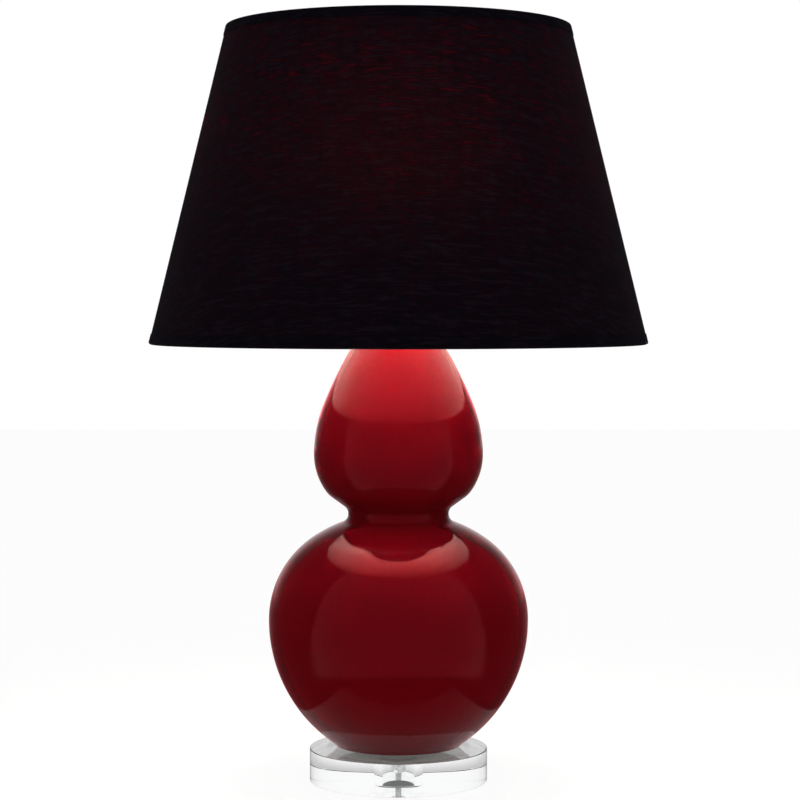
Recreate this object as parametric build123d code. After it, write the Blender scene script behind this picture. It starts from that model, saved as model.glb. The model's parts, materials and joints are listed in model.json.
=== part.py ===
"""Table lamp with a double gourd ceramic body on a clear acrylic disc, under a black fabric empire shade.

The frame: the origin is the centre of the disc's underside, +Z points up, the harp stands in the XZ plane,
the switch knob points along -Y to the front, and the cord outlet and the shade's seam are at the back, on +Y.
All sizes are millimetres. Heights are stacked: each piece sits on the one below it by the same named sizes.
"""

from build123d import *
import math
import os

# ---- clearances ----------------------------------------------------------------------------------
SNUG = 0.05  # radial gap of a fixed piece in its seat
RUNNING = 0.15  # gap beside a piece that turns or slides
GLUE = 0.1  # glue line between the shade's layers
TOUCHING = 0.001  # points nearer than this are one point

# ---- clear acrylic disc --------------------------------------------------------------------------
DISC_DIAMETER = 173.0
DISC_THICKNESS = 31.75
DISC_EDGE_BEVEL = 0.8
POCKET_DIAMETER = 31.75
LEDGE_THICKNESS = 10.0  # acrylic left between the pocket's roof and the disc's top
STUD_DIAMETER = 6.35
STUD_HOLE_CLEARANCE = 0.4
STUD_RECESS = 4.0  # from the disc's underside up to the stud's lower end

# ---- fasteners in the pocket ---------------------------------------------------------------------
WASHER_DIAMETER = 25.4
WASHER_THICKNESS = 1.6
LOCK_WASHER_DIAMETER = 11.2
LOCK_WASHER_THICKNESS = 1.4
LOCK_WASHER_SPLIT = 0.8
NUT_ACROSS_FLATS = 12.7
NUT_HEIGHT = 6.5

# ---- spacer between disc and ceramic -------------------------------------------------------------
SPACER_DIAMETER = 38.0
SPACER_THICKNESS = 2.7
GASKET_DIAMETER = 34.0
GASKET_THICKNESS = 0.8

# ---- double gourd body: from the foot up, arcs are named by their radius ---------------
BELLY_RADIUS = 126.15
BELLY_HEIGHT = 121.75
BELLY_ARC_BELOW = 145.3
BELLY_ARC_ABOVE = 96.5
BELLY_TURN_ABOVE = 56.0  # degrees that the upper belly arc turns inwards before the flatter shoulder
SHOULDER_ARC = 138.0
WAIST_RADIUS = 48.78
WAIST_COVE = 9.0
CROWN_RADIUS = 82.05
CROWN_ARC_BELOW = 61.0
CROWN_TURN_BELOW = 36.0
CROWN_ARC_UNDER = 25.0
CROWN_TURN_UNDER = 18.0
CROWN_ARC_ABOVE = 131.4
CROWN_TURN_ABOVE = 22.1
SLOPE_ARC = 400.0  # the long slope up to the neck
NECK_RADIUS = 27.0
NECK_COVE = 14.0
NECK_RISE = 3.97  # straight collar above the cove
LIP_BEVEL = 1.5
FOOT_BEVEL = 3.0
HOLLOW_TURN = 16.0  # degrees of arc that one straight run of the hidden hollow stands for
WALL = 7.0
FLOOR_HOLE_DIAMETER = 12.0

# ---- cord outlet at the back ---------------------------------------------------------------------
OUTLET_HEIGHT = 46.0  # above the foot
BUSHING_DIAMETER = 12.7
BUSHING_BORE = 8.0
BUSHING_LIP_DIAMETER = 17.0
BUSHING_LIP_THICKNESS = 1.4
BUSHING_TAIL = 3.0  # how far the bushing stands into the hollow body

# ---- rod and pipe through the body ---------------------------------------------------------------
PIPE_DIAMETER = 10.2
PIPE_BORE = 6.6
COUPLING_DIAMETER = 16.0
COUPLING_HEIGHT = 34.0
COUPLING_ABOVE_FOOT = 29.0
COUPLING_GRIP = 10.0  # length of stud and of pipe held in the coupling
WIRE_WINDOW_WIDTH = 8.0
WIRE_WINDOW_MARGIN = 1.0  # left between the window and the ends of stud and pipe
PIPE_RECESS = 1.0  # from the hub's top down to the pipe's end

# ---- metalwork over the ceramic neck -------------------------------------------------------------
CAP_HEIGHT = 6.0
CAP_SKIRT = 3.0
CAP_METAL = 1.2
CAP_FLAT_RADIUS = 14.0
COLUMN_HEIGHT = 20.0
COLUMN_FLANGE_DIAMETER = 24.0
COLUMN_WAIST_DIAMETER = 15.0
COLUMN_FLANGE_THICKNESS = 2.2

# ---- harp, its saddle and its sleeves ------------------------------------------------------------
HARP_HEIGHT = 228.6  # from the saddle plate's top to the seat under the shade
HARP_WIRE_DIAMETER = 3.6
HARP_LEG_SPACING = 50.0
HARP_LEG_HEIGHT = 54.0  # where the straight legs start to flare, above the plate
HARP_HALF_WIDTH = 57.0
HARP_SHOULDER_LOW = 96.0
HARP_SHOULDER_HIGH = 168.0
HARP_TOP_HALF_WIDTH = 30.0
HARP_LEG_BEND = 14.0
HARP_SIDE_BEND = 30.0
HARP_TOP_BEND = 20.0
HARP_EYE_DIAMETER = 9.0
HARP_EYE_THICKNESS = 2.4
SADDLE_THICKNESS = 1.6
SADDLE_WIDTH = 12.7
SADDLE_ARM_HEIGHT = 20.0
SADDLE_BEND = 3.0
TONGUE_WIDTH = 4.0
TONGUE_HEIGHT = 13.0
SLEEVE_HEIGHT = 15.0
SLEEVE_METAL = 0.8
SEAT_DIAMETER = 17.0
SEAT_THICKNESS = 2.0
FINIAL_STUD_DIAMETER = 6.2
FINIAL_STUD_HEIGHT = 12.0
RIVET_DIAMETER = 3.0
RIVET_HEAD_DIAMETER = 5.0
RIVET_HEAD_HEIGHT = 1.2

# ---- lamp holder: heights are above the saddle's plate -------------------------------------------
SHELL_DIAMETER = 33.6
SHELL_METAL = 0.5
SHELL_TOP = 62.0
HOLDER_CAP_METAL = 0.7
HOLDER_CAP_CURVE_TOP = 17.0
HOLDER_CAP_TOP = 22.0
HUB_DIAMETER = 15.0
HUB_HEIGHT = 9.0
SET_SCREW_DIAMETER = 3.0
SET_SCREW_LENGTH = 4.2
LINER_THICKNESS = 0.9
LINER_RECESS = 1.0  # from the shell's top edge down to the liner's
BLOCK_DIAMETER = 29.6
BLOCK_TOP = 36.0
BLOCK_HEIGHT = 17.0
BLOCK_FLAT_HALF_WIDTH = 11.0
SCREW_SHELL_DIAMETER = 27.8
SCREW_SHELL_METAL = 0.45
SCREW_SHELL_HEIGHT = 24.0
CONTACT_WIDTH = 4.0
CONTACT_LENGTH = 9.0
CONTACT_HEIGHT = 1.9
CONTACT_METAL = 0.5
TERMINAL_HEIGHT = 26.0
TERMINAL_HEAD_DIAMETER = 6.0
TERMINAL_HEAD_HEIGHT = 2.0
TERMINAL_SHANK_DIAMETER = 3.2
TERMINAL_SHANK_LENGTH = 4.0

# ---- turn switch ---------------------------------------------------------------------------------
SWITCH_HEIGHT = 28.0
STEM_DIAMETER = 4.4
STEM_IN_BLOCK = 7.0
STEM_IN_KNOB = 6.0
SWITCH_HOLE_DIAMETER = 8.0
KNOB_GAP = 2.4  # between the holder's shell and the knob
KNOB_COLLAR_DIAMETER = 10.0
KNOB_COLLAR_LENGTH = 4.0
KNOB_PADDLE_WIDTH = 15.0
KNOB_PADDLE_THICKNESS = 6.4
KNOB_PADDLE_LENGTH = 14.0
KNOB_ROUND = 2.0

# ---- bulb: heights are above its tip -------------------------------------------------------------
BULB_LENGTH = 130.0
BULB_GLOBE_DIAMETER = 67.0
BULB_NECK_DIAMETER = 27.6
BULB_GLASS = 1.0
BULB_TURN = 15.0  # degrees of arc that one straight run of the hidden envelope stands for
BULB_FLARE_ANGLE = 35.0  # below the globe's girth, where the flare from the neck meets it
BULB_BASE_DIAMETER = 26.2
BULB_BASE_METAL = 0.4
BULB_BASE_TOP = 27.0
BULB_NECK_IN_BASE = 5.0
BULB_TIP_DIAMETER = 9.0
BULB_TIP_HEIGHT = 1.4
BULB_INSULATOR_DIAMETER = 19.0
BULB_INSULATOR_HEIGHT = 3.6

# ---- shade ---------------------------------------------------------------------------------------
SHADE_BOTTOM_DIAMETER = 482.6
SHADE_TOP_DIAMETER = 332.0
SHADE_HEIGHT = 304.0
TRIM_BAND = 10.0
TRIM_RETURN = 5.0
TRIM_THICKNESS = 0.5
FABRIC_THICKNESS = 0.6
LINING_THICKNESS = 0.4
SEAM_WIDTH = 12.0
RING_WIRE_DIAMETER = 3.2
WIRE_FLATS = 8
RING_FLATS = 6
SPIDER_DROP = 16.5  # from the shade's top edge down to the seat of its centre washer
SPIDER_ARMS = 3
SPIDER_ARM_START = 10.0
SPIDER_FLAT = 0.3  # how deep each arm is pressed flat where it is welded
SPIDER_BEND = 12.0
SPIDER_RISE_RUN = 14.0  # radial length over which an arm climbs to the ring
SPIDER_WASHER_DIAMETER = 32.0
SPIDER_WASHER_HOLE = 11.1
SPIDER_WASHER_THICKNESS = 1.5

# ---- finial --------------------------------------------------------------------------------------
FINIAL_HEIGHT = 32.0
FINIAL_KNOB_DIAMETER = 20.0
FINIAL_KNOB_BEVEL = 2.0
FINIAL_FOOT_DIAMETER = 17.0
FINIAL_FOOT_HEIGHT = 3.0
FINIAL_NECK_DIAMETER = 10.5
FINIAL_NECK_HEIGHT = 14.0


def polar(centre, radius, degrees):
    """The point at a radius and an angle about a centre."""
    turn = math.radians(degrees)
    return (centre[0] + radius * math.cos(turn), centre[1] + radius * math.sin(turn))


def beside(centre, reach, radius):
    """The higher point at a reach from a centre and a radius from the axis."""
    return (radius, centre[1] + math.sqrt(reach**2 - (radius - centre[0]) ** 2))


def bearing(start, end):
    """The angle in degrees from one point to another."""
    return math.degrees(math.atan2(end[1] - start[1], end[0] - start[0]))


# ---- the gourd's arcs: each centre follows from the arc below it, so that all of them meet tangent
BELLY_LOW = (BELLY_RADIUS - BELLY_ARC_BELOW, BELLY_HEIGHT)
BELLY_HIGH = (BELLY_RADIUS - BELLY_ARC_ABOVE, BELLY_HEIGHT)
SHOULDER = polar(BELLY_HIGH, BELLY_ARC_ABOVE - SHOULDER_ARC, BELLY_TURN_ABOVE)
WAIST = beside(SHOULDER, SHOULDER_ARC + WAIST_COVE, WAIST_RADIUS + WAIST_COVE)
UNDER_TURN = CROWN_TURN_BELOW + CROWN_TURN_UNDER
RUN_FOOT = polar(WAIST, WAIST_COVE, 180 - UNDER_TURN)
UNDER_RISE = CROWN_ARC_BELOW - CROWN_ARC_UNDER
CROWN_LOW_X = CROWN_RADIUS - CROWN_ARC_BELOW
RUN_HEAD_X = polar(polar((CROWN_LOW_X, 0), UNDER_RISE, -CROWN_TURN_BELOW), CROWN_ARC_UNDER, -UNDER_TURN)[0]
RUN_HEAD = (RUN_HEAD_X, RUN_FOOT[1] + (RUN_HEAD_X - RUN_FOOT[0]) / math.tan(math.radians(UNDER_TURN)))
CROWN_UNDER = polar(RUN_HEAD, -CROWN_ARC_UNDER, -UNDER_TURN)
CROWN_LOW = polar(CROWN_UNDER, -UNDER_RISE, -CROWN_TURN_BELOW)
CROWN_HIGH = (CROWN_RADIUS - CROWN_ARC_ABOVE, CROWN_LOW[1])
SLOPE = polar(CROWN_HIGH, CROWN_ARC_ABOVE - SLOPE_ARC, CROWN_TURN_ABOVE)
NECK = beside(SLOPE, SLOPE_ARC + NECK_COVE, NECK_RADIUS + NECK_COVE)
BODY_HEIGHT = NECK[1] + NECK_RISE

# ---- heights that follow from the sizes above ----------------------------------------------------
LEDGE_Z = DISC_THICKNESS - LEDGE_THICKNESS
GASKET_Z = DISC_THICKNESS + SPACER_THICKNESS
FOOT_Z = GASKET_Z + GASKET_THICKNESS
LIP_Z = FOOT_Z + BODY_HEIGHT
COLUMN_Z = LIP_Z + CAP_HEIGHT
SADDLE_Z = COLUMN_Z + COLUMN_HEIGHT
PLATE_Z = SADDLE_Z + SADDLE_THICKNESS  # top of the saddle's plate, where harp and lamp holder start
SEAT_Z = PLATE_Z + HARP_HEIGHT
EYE_Z = SEAT_Z - SEAT_THICKNESS
WASHER_Z = SEAT_Z + RUNNING
FINIAL_Z = WASHER_Z + SPIDER_WASHER_THICKNESS + RUNNING
SHADE_TOP_Z = SEAT_Z + SPIDER_DROP
SHADE_BOTTOM_Z = SHADE_TOP_Z - SHADE_HEIGHT
BLOCK_Z = PLATE_Z + BLOCK_TOP
BULB_Z = BLOCK_Z + CONTACT_HEIGHT + RUNNING
SWITCH_Z = PLATE_Z + SWITCH_HEIGHT

# ---- widths that follow --------------------------------------------------------------------------
STUD_HOLE = STUD_DIAMETER / 2 + STUD_HOLE_CLEARANCE
PIPE_SEAT = PIPE_DIAMETER / 2 + SNUG
SHELL_RADIUS = SHELL_DIAMETER / 2
LEG_X = HARP_LEG_SPACING / 2
ARM_X = LEG_X - HARP_WIRE_DIAMETER / 2 - RUNNING - SADDLE_THICKNESS / 2  # middle of the saddle's upturned arm
KNOB_Y = SHELL_RADIUS + KNOB_GAP


# ---- helpers -------------------------------------------------------------------------------------
def turned(*points):
    """A solid turned about Z from a closed outline of (radius, height) points."""
    return revolve(Plane.XZ * make_face(Polyline(*points, close=True).edges()), Axis.Z)


def tube(outer, inner, low, high):
    """A ring of two radii between two heights."""
    return turned((inner, low), (outer, low), (outer, high), (inner, high))


def rod(radius, low, high):
    """An upright round bar on the axis."""
    return Pos(0, 0, low) * Cylinder(radius, high - low, align=(Align.CENTER, Align.CENTER, Align.MIN))


def cross_rod(radius, start, direction, length):
    """A round bar that starts at a point and runs in a direction."""
    place = Plane(origin=start, z_dir=direction)
    return place * Cylinder(radius, length, align=(Align.CENTER, Align.CENTER, Align.MIN))


def bent_bar(section, points, radii):
    """A bar swept along straight runs in the XZ plane that tangent arcs join."""
    path = FilletPolyline(*[(x, 0, z) for x, z in points], radius=radii)
    start = Plane(origin=path @ 0, x_dir=(0, 1, 0), z_dir=path % 0)
    return sweep(start * section, path=path)


def wire_section(diameter):
    """A wire's section, drawn with flats so that long thin wires stay light."""
    return RegularPolygon(diameter / 2, WIRE_FLATS)


def on_both_sides(make):
    """Two mirrored copies of what stands on the +X side."""
    return [make, mirror(make, Plane.YZ)]


def in_runs(section, turn):
    """The same section with each arc drawn as straight runs of so many degrees, for a light mesh."""
    points = []
    for edge in section.face().outer_wire().order_edges():
        bowed = edge.geom_type == GeomType.CIRCLE
        steps = math.ceil(math.degrees(edge.length / edge.radius) / turn) if bowed else 1
        along = [edge @ (k / steps) for k in range(steps + 1)]
        if points and (along[-1] - points[-1]).length < (along[0] - points[-1]).length:
            along.reverse()
        points += along[1:] if points else along
    return make_face(Polyline(*points[:-1], close=True).edges())


def save(name, shape):
    """Writes one sub-part under its node's name."""
    shape.label = name
    export_step(shape, f"parts/{name}.step")


# ---- clear disc and the fasteners in its pocket --------------------------------------------------
def base_disc():
    """The thick disc, with a through hole for the stud and a wide pocket from below for its nut."""
    edge = DISC_DIAMETER / 2
    pocket = POCKET_DIAMETER / 2
    return turned(
        (pocket, 0),
        (edge - DISC_EDGE_BEVEL, 0),
        (edge, DISC_EDGE_BEVEL),
        (edge, DISC_THICKNESS - DISC_EDGE_BEVEL),
        (edge - DISC_EDGE_BEVEL, DISC_THICKNESS),
        (STUD_HOLE, DISC_THICKNESS),
        (STUD_HOLE, LEDGE_Z),
        (pocket, LEDGE_Z),
    )


def base_washer():
    """The flat washer that bears on the pocket's roof."""
    return tube(WASHER_DIAMETER / 2, STUD_DIAMETER / 2 + SNUG, LEDGE_Z - WASHER_THICKNESS, LEDGE_Z)


def base_lock_washer():
    """The split spring washer under the flat one."""
    high = LEDGE_Z - WASHER_THICKNESS
    ring = tube(LOCK_WASHER_DIAMETER / 2, STUD_DIAMETER / 2 + SNUG, high - LOCK_WASHER_THICKNESS, high)
    split = Box(LOCK_WASHER_DIAMETER, LOCK_WASHER_SPLIT, 3 * LOCK_WASHER_THICKNESS)
    return ring - Pos(LOCK_WASHER_DIAMETER / 2, 0, high) * split


def base_nut():
    """The hexagon nut."""
    high = LEDGE_Z - WASHER_THICKNESS - LOCK_WASHER_THICKNESS
    low = high - NUT_HEIGHT
    corner = NUT_ACROSS_FLATS / 2 / math.cos(math.radians(30))
    prism = Pos(0, 0, low) * extrude(RegularPolygon(corner, 6), NUT_HEIGHT)
    return prism - rod(STUD_DIAMETER / 2 + SNUG, low, high)


def base_stud():
    """The threaded stud from the nut in the pocket up into the coupling in the body."""
    return rod(STUD_DIAMETER / 2, STUD_RECESS, FOOT_Z + COUPLING_ABOVE_FOOT + COUPLING_GRIP)


def base_spacer():
    """The polished ring that holds the ceramic just off the disc."""
    return tube(SPACER_DIAMETER / 2, STUD_HOLE, DISC_THICKNESS, GASKET_Z)


def spacer_gasket():
    """The soft washer between the spacer and the ceramic foot."""
    return tube(GASKET_DIAMETER / 2, STUD_HOLE, GASKET_Z, FOOT_Z)


# ---- double gourd --------------------------------------------------------------------------------
def gourd_section(inset, low, high, foot_bevel, lip_bevel):
    """Half the gourd's section between two heights, with its outline taken in by inset. A negative radius
    makes a cove."""
    first = -math.degrees(math.asin((BELLY_HEIGHT - low - foot_bevel) / (BELLY_ARC_BELOW - inset)))
    shoulder_end, slope_end = bearing(SHOULDER, WAIST), bearing(SLOPE, NECK)
    chain = [
        (BELLY_LOW, BELLY_ARC_BELOW, first, 0),
        (BELLY_HIGH, BELLY_ARC_ABOVE, 0, BELLY_TURN_ABOVE),
        (SHOULDER, SHOULDER_ARC, BELLY_TURN_ABOVE, shoulder_end),
        (WAIST, -WAIST_COVE, shoulder_end + 180, 180 - UNDER_TURN),
        (CROWN_UNDER, CROWN_ARC_UNDER, -UNDER_TURN, -CROWN_TURN_BELOW),
        (CROWN_LOW, CROWN_ARC_BELOW, -CROWN_TURN_BELOW, 0),
        (CROWN_HIGH, CROWN_ARC_ABOVE, 0, CROWN_TURN_ABOVE),
        (SLOPE, SLOPE_ARC, CROWN_TURN_ABOVE, slope_end),
        (NECK, -NECK_COVE, slope_end + 180, 180),
    ]
    edges, here = [], None
    for centre, radius, start, end in chain:
        arc = [polar(centre, abs(radius - inset), turn) for turn in (start, (start + end) / 2, end)]
        if here and math.dist(here, arc[0]) > TOUCHING:
            edges.append(Line(here, arc[0]))
        edges.append(ThreePointArc(*arc))
        here = arc[2]
    foot = polar(BELLY_LOW, BELLY_ARC_BELOW - inset, first)
    corners = [here, (here[0], high - lip_bevel), (here[0] - lip_bevel, high), (0, high), (0, low)]
    corners += [(foot[0] - foot_bevel, low), foot]
    ends = [a for a, b in zip(corners, corners[1:]) if math.dist(a, b) > TOUCHING] + [foot]
    return make_face([*edges, *Polyline(*ends).edges()])


def gourd_body():
    """The slip-cast ceramic shell: an even wall, open at the neck, with a floor hole and a cord outlet."""
    outside = gourd_section(0, 0, BODY_HEIGHT, FOOT_BEVEL, LIP_BEVEL)
    hollow = gourd_section(WALL, WALL, BODY_HEIGHT + WALL, 0, 0)
    shell = revolve(Plane.XZ * (outside - in_runs(hollow, HOLLOW_TURN)), Axis.Z)
    shell -= rod(FLOOR_HOLE_DIAMETER / 2, -WALL, 2 * WALL)
    reach = outlet_radius()
    outlet = cross_rod(BUSHING_DIAMETER / 2 + SNUG, (0, reach / 2, OUTLET_HEIGHT), (0, 1, 0), reach)
    return Pos(0, 0, FOOT_Z) * (shell - outlet)


def outlet_radius():
    """Radius of the belly's glazed surface at the cord outlet."""
    drop = BELLY_HEIGHT - OUTLET_HEIGHT
    return BELLY_RADIUS - BELLY_ARC_BELOW + math.sqrt(BELLY_ARC_BELOW**2 - drop**2)


def cord_bushing():
    """The cord outlet's snap-in grommet: a level barrel and bore, and a flange that leans with the belly."""
    height = FOOT_Z + OUTLET_HEIGHT
    lean = math.asin((BELLY_HEIGHT - OUTLET_HEIGHT) / BELLY_ARC_BELOW)
    out = (0, math.cos(lean), -math.sin(lean))
    seat = Plane(origin=(0, outlet_radius(), height), z_dir=out)
    depth = WALL / math.cos(lean) + BUSHING_TAIL
    size = 2 * BUSHING_LIP_DIAMETER
    flange_slab = seat * Pos(0, 0, BUSHING_LIP_THICKNESS / 2) * Box(size, size, BUSHING_LIP_THICKNESS)
    behind = seat * Pos(0, 0, BUSHING_LIP_THICKNESS / 2 - size) * Box(size, size, 2 * size)
    start = (0, outlet_radius() - depth, height)
    flange = cross_rod(BUSHING_LIP_DIAMETER / 2, start, (0, 1, 0), size) & flange_slab
    barrel = cross_rod(BUSHING_DIAMETER / 2, start, (0, 1, 0), size) & behind
    return flange + barrel - cross_rod(BUSHING_BORE / 2, start, (0, 1, 0), size)


# ---- rod and pipe through the body ---------------------------------------------------------------
def rod_coupling():
    """The coupling that joins stud and pipe, with a window where the wires enter the pipe."""
    low = FOOT_Z + COUPLING_ABOVE_FOOT
    high = low + COUPLING_HEIGHT
    stud_top = low + COUPLING_GRIP
    seat = STUD_DIAMETER / 2 + SNUG
    body = turned(
        (seat, low),
        (COUPLING_DIAMETER / 2, low),
        (COUPLING_DIAMETER / 2, high),
        (PIPE_SEAT, high),
        (PIPE_SEAT, stud_top),
        (seat, stud_top),
    )
    window_height = COUPLING_HEIGHT - 2 * (COUPLING_GRIP + WIRE_WINDOW_MARGIN)
    window = Box(WIRE_WINDOW_WIDTH, COUPLING_DIAMETER, window_height)
    return body - Pos(0, COUPLING_DIAMETER / 2, (low + high) / 2) * window


def lamp_pipe():
    """The threaded pipe from the coupling up into the lamp holder's hub."""
    low = FOOT_Z + COUPLING_ABOVE_FOOT + COUPLING_HEIGHT - COUPLING_GRIP
    return tube(PIPE_DIAMETER / 2, PIPE_BORE / 2, low, PLATE_Z + HUB_HEIGHT - PIPE_RECESS)


# ---- metalwork over the neck ---------------------------------------------------------------------
def neck_cap():
    """The spun cap that rests on the ceramic lip and hangs over it."""
    inside = NECK_RADIUS + SNUG
    outside = inside + CAP_METAL
    return turned(
        (PIPE_SEAT, COLUMN_Z - CAP_METAL),
        (CAP_FLAT_RADIUS, COLUMN_Z - CAP_METAL),
        (NECK_RADIUS - LIP_BEVEL, LIP_Z),
        (inside, LIP_Z),
        (inside, LIP_Z - CAP_SKIRT),
        (outside, LIP_Z - CAP_SKIRT),
        (outside, LIP_Z + CAP_METAL),
        (CAP_FLAT_RADIUS + CAP_METAL, COLUMN_Z),
        (PIPE_SEAT, COLUMN_Z),
    )


def neck_column():
    """The turned column between cap and saddle: a spool with tapered flanges."""
    flange, waist = COLUMN_FLANGE_DIAMETER / 2, COLUMN_WAIST_DIAMETER / 2
    low, high = COLUMN_Z + COLUMN_FLANGE_THICKNESS, SADDLE_Z - COLUMN_FLANGE_THICKNESS
    taper = flange - waist
    return turned(
        (PIPE_SEAT, COLUMN_Z),
        (flange, COLUMN_Z),
        (flange, low),
        (waist, low + taper),
        (waist, high - taper),
        (flange, high),
        (flange, SADDLE_Z),
        (PIPE_SEAT, SADDLE_Z),
    )


# ---- saddle, harp and sleeves --------------------------------------------------------------------
def harp_saddle():
    """The bent strip clamped under the lamp holder: a plate, two upturned arms and a tongue on each."""
    middle = SADDLE_Z + SADDLE_THICKNESS / 2
    arm_top = PLATE_Z + SADDLE_ARM_HEIGHT
    bend = SADDLE_BEND + SADDLE_THICKNESS / 2
    ends = [(-ARM_X, arm_top), (-ARM_X, middle), (ARM_X, middle), (ARM_X, arm_top)]
    strip = bent_bar(Rectangle(SADDLE_WIDTH, SADDLE_THICKNESS), ends, bend)
    tongue = Pos(ARM_X, 0, arm_top + TONGUE_HEIGHT / 2) * Box(SADDLE_THICKNESS, TONGUE_WIDTH, TONGUE_HEIGHT)
    for side in on_both_sides(tongue):
        strip += side
    return strip - rod(PIPE_SEAT, SADDLE_Z, PLATE_Z)


def harp():
    """The wire loop that carries the shade, with a flattened eye at its top."""
    half = [
        (LEG_X, SADDLE_ARM_HEIGHT + RUNNING),
        (LEG_X, HARP_LEG_HEIGHT),
        (HARP_HALF_WIDTH, HARP_SHOULDER_LOW),
        (HARP_HALF_WIDTH, HARP_SHOULDER_HIGH),
        (HARP_TOP_HALF_WIDTH, EYE_Z - HARP_EYE_THICKNESS / 2 - PLATE_Z),
    ]
    right = [(x, PLATE_Z + z) for x, z in half]
    left = [(-x, z) for x, z in reversed(right)]
    bends = [HARP_LEG_BEND, HARP_SIDE_BEND, HARP_SIDE_BEND, HARP_TOP_BEND]
    loop = bent_bar(wire_section(HARP_WIRE_DIAMETER), right + left, bends + bends[::-1])
    pressed = Box(2 * HARP_EYE_DIAMETER, HARP_EYE_DIAMETER, HARP_WIRE_DIAMETER)
    for side in (EYE_Z + HARP_WIRE_DIAMETER / 2, EYE_Z - HARP_EYE_THICKNESS - HARP_WIRE_DIAMETER / 2):
        loop -= Pos(0, 0, side) * pressed
    eye = rod(HARP_EYE_DIAMETER / 2, EYE_Z - HARP_EYE_THICKNESS, EYE_Z)
    return loop + eye - rod(RIVET_DIAMETER / 2 + SNUG, EYE_Z - HARP_WIRE_DIAMETER, EYE_Z)


def harp_seat():
    """The seat riveted through the harp's eye, with the stud that takes the finial."""
    rivet_z = EYE_Z - HARP_EYE_THICKNESS
    return turned(
        (0, rivet_z - RIVET_HEAD_HEIGHT),
        (RIVET_HEAD_DIAMETER / 2, rivet_z - RIVET_HEAD_HEIGHT),
        (RIVET_HEAD_DIAMETER / 2, rivet_z),
        (RIVET_DIAMETER / 2, rivet_z),
        (RIVET_DIAMETER / 2, EYE_Z),
        (SEAT_DIAMETER / 2, EYE_Z),
        (SEAT_DIAMETER / 2, SEAT_Z),
        (FINIAL_STUD_DIAMETER / 2, SEAT_Z),
        (FINIAL_STUD_DIAMETER / 2, SEAT_Z + FINIAL_STUD_HEIGHT),
        (0, SEAT_Z + FINIAL_STUD_HEIGHT),
    )


def harp_sleeve(side):
    """The sleeve that locks one leg of the harp to its tongue, resting on the saddle's arm."""
    reach_out = LEG_X + HARP_WIRE_DIAMETER / 2 + RUNNING
    corner_x = ARM_X - SADDLE_THICKNESS / 2
    corner_y = TONGUE_WIDTH / 2 + RUNNING
    centre = (reach_out**2 - corner_x**2 - corner_y**2) / (2 * (reach_out - corner_x))
    bore = reach_out - centre
    low = PLATE_Z + SADDLE_ARM_HEIGHT + RUNNING
    return Pos(side * centre, 0, 0) * tube(bore + SLEEVE_METAL, bore, low, low + SLEEVE_HEIGHT)


# ---- lamp holder ---------------------------------------------------------------------------------
def holder_cap():
    """The cap with its threaded hub, screwed down on the saddle, that takes the shell's lower edge."""
    inner = SHELL_RADIUS + SNUG
    outer = inner + HOLDER_CAP_METAL
    hub = HUB_DIAMETER / 2
    low, curve_top, top = PLATE_Z + HUB_HEIGHT, PLATE_Z + HOLDER_CAP_CURVE_TOP, PLATE_Z + HOLDER_CAP_TOP
    cup = turned(
        (PIPE_SEAT, PLATE_Z),
        (hub, PLATE_Z),
        (hub, low),
        (outer, curve_top),
        (outer, top),
        (inner, top),
        (inner, curve_top),
        (hub, low + HOLDER_CAP_METAL),
        (PIPE_SEAT, low + HOLDER_CAP_METAL),
    )
    screw_z = PLATE_Z + HUB_HEIGHT / 2
    return cup - cross_rod(SET_SCREW_DIAMETER / 2 + SNUG, (0, 0, screw_z), (0, 1, 0), HUB_DIAMETER)


def set_screw():
    """The slotted screw in the hub that stops the holder from turning on the pipe."""
    screw_z = PLATE_Z + HUB_HEIGHT / 2
    screw = cross_rod(SET_SCREW_DIAMETER / 2, (0, PIPE_SEAT, screw_z), (0, 1, 0), SET_SCREW_LENGTH)
    slot = Box(SET_SCREW_DIAMETER, SET_SCREW_DIAMETER / 2, SET_SCREW_DIAMETER / 5)
    return screw - Pos(0, PIPE_SEAT + SET_SCREW_LENGTH, screw_z) * slot


def switch_hole(depth):
    """The hole for the switch stem through the holder's front."""
    return cross_rod(SWITCH_HOLE_DIAMETER / 2, (0, 0, SWITCH_Z), (0, -1, 0), depth)


def holder_shell():
    """The tubular outer shell."""
    low, high = PLATE_Z + HOLDER_CAP_CURVE_TOP, PLATE_Z + SHELL_TOP
    return tube(SHELL_RADIUS, SHELL_RADIUS - SHELL_METAL, low, high) - switch_hole(SHELL_DIAMETER)


def holder_liner():
    """The cardboard sleeve that insulates the shell."""
    outer = SHELL_RADIUS - SHELL_METAL - SNUG
    low, high = PLATE_Z + HOLDER_CAP_CURVE_TOP, PLATE_Z + SHELL_TOP - LINER_RECESS
    return tube(outer, outer - LINER_THICKNESS, low, high) - switch_hole(SHELL_DIAMETER)


def switch_block():
    """The moulded block that holds the switch, the terminals and the screw shell, cut flat at both sides."""
    low = BLOCK_Z - BLOCK_HEIGHT
    flats = Pos(0, 0, (low + BLOCK_Z) / 2) * Box(2 * BLOCK_FLAT_HALF_WIDTH, BLOCK_DIAMETER, BLOCK_HEIGHT)
    block = rod(BLOCK_DIAMETER / 2, low, BLOCK_Z) & flats
    stem_start = (0, -BLOCK_DIAMETER / 2, SWITCH_Z)
    block -= cross_rod(STEM_DIAMETER / 2 + RUNNING, stem_start, (0, 1, 0), STEM_IN_BLOCK + RUNNING)
    start = (BLOCK_FLAT_HALF_WIDTH, 0, PLATE_Z + TERMINAL_HEIGHT)
    hole = cross_rod(TERMINAL_SHANK_DIAMETER / 2 + SNUG, start, (-1, 0, 0), TERMINAL_SHANK_LENGTH)
    for side in on_both_sides(hole):
        block -= side
    return block


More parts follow.
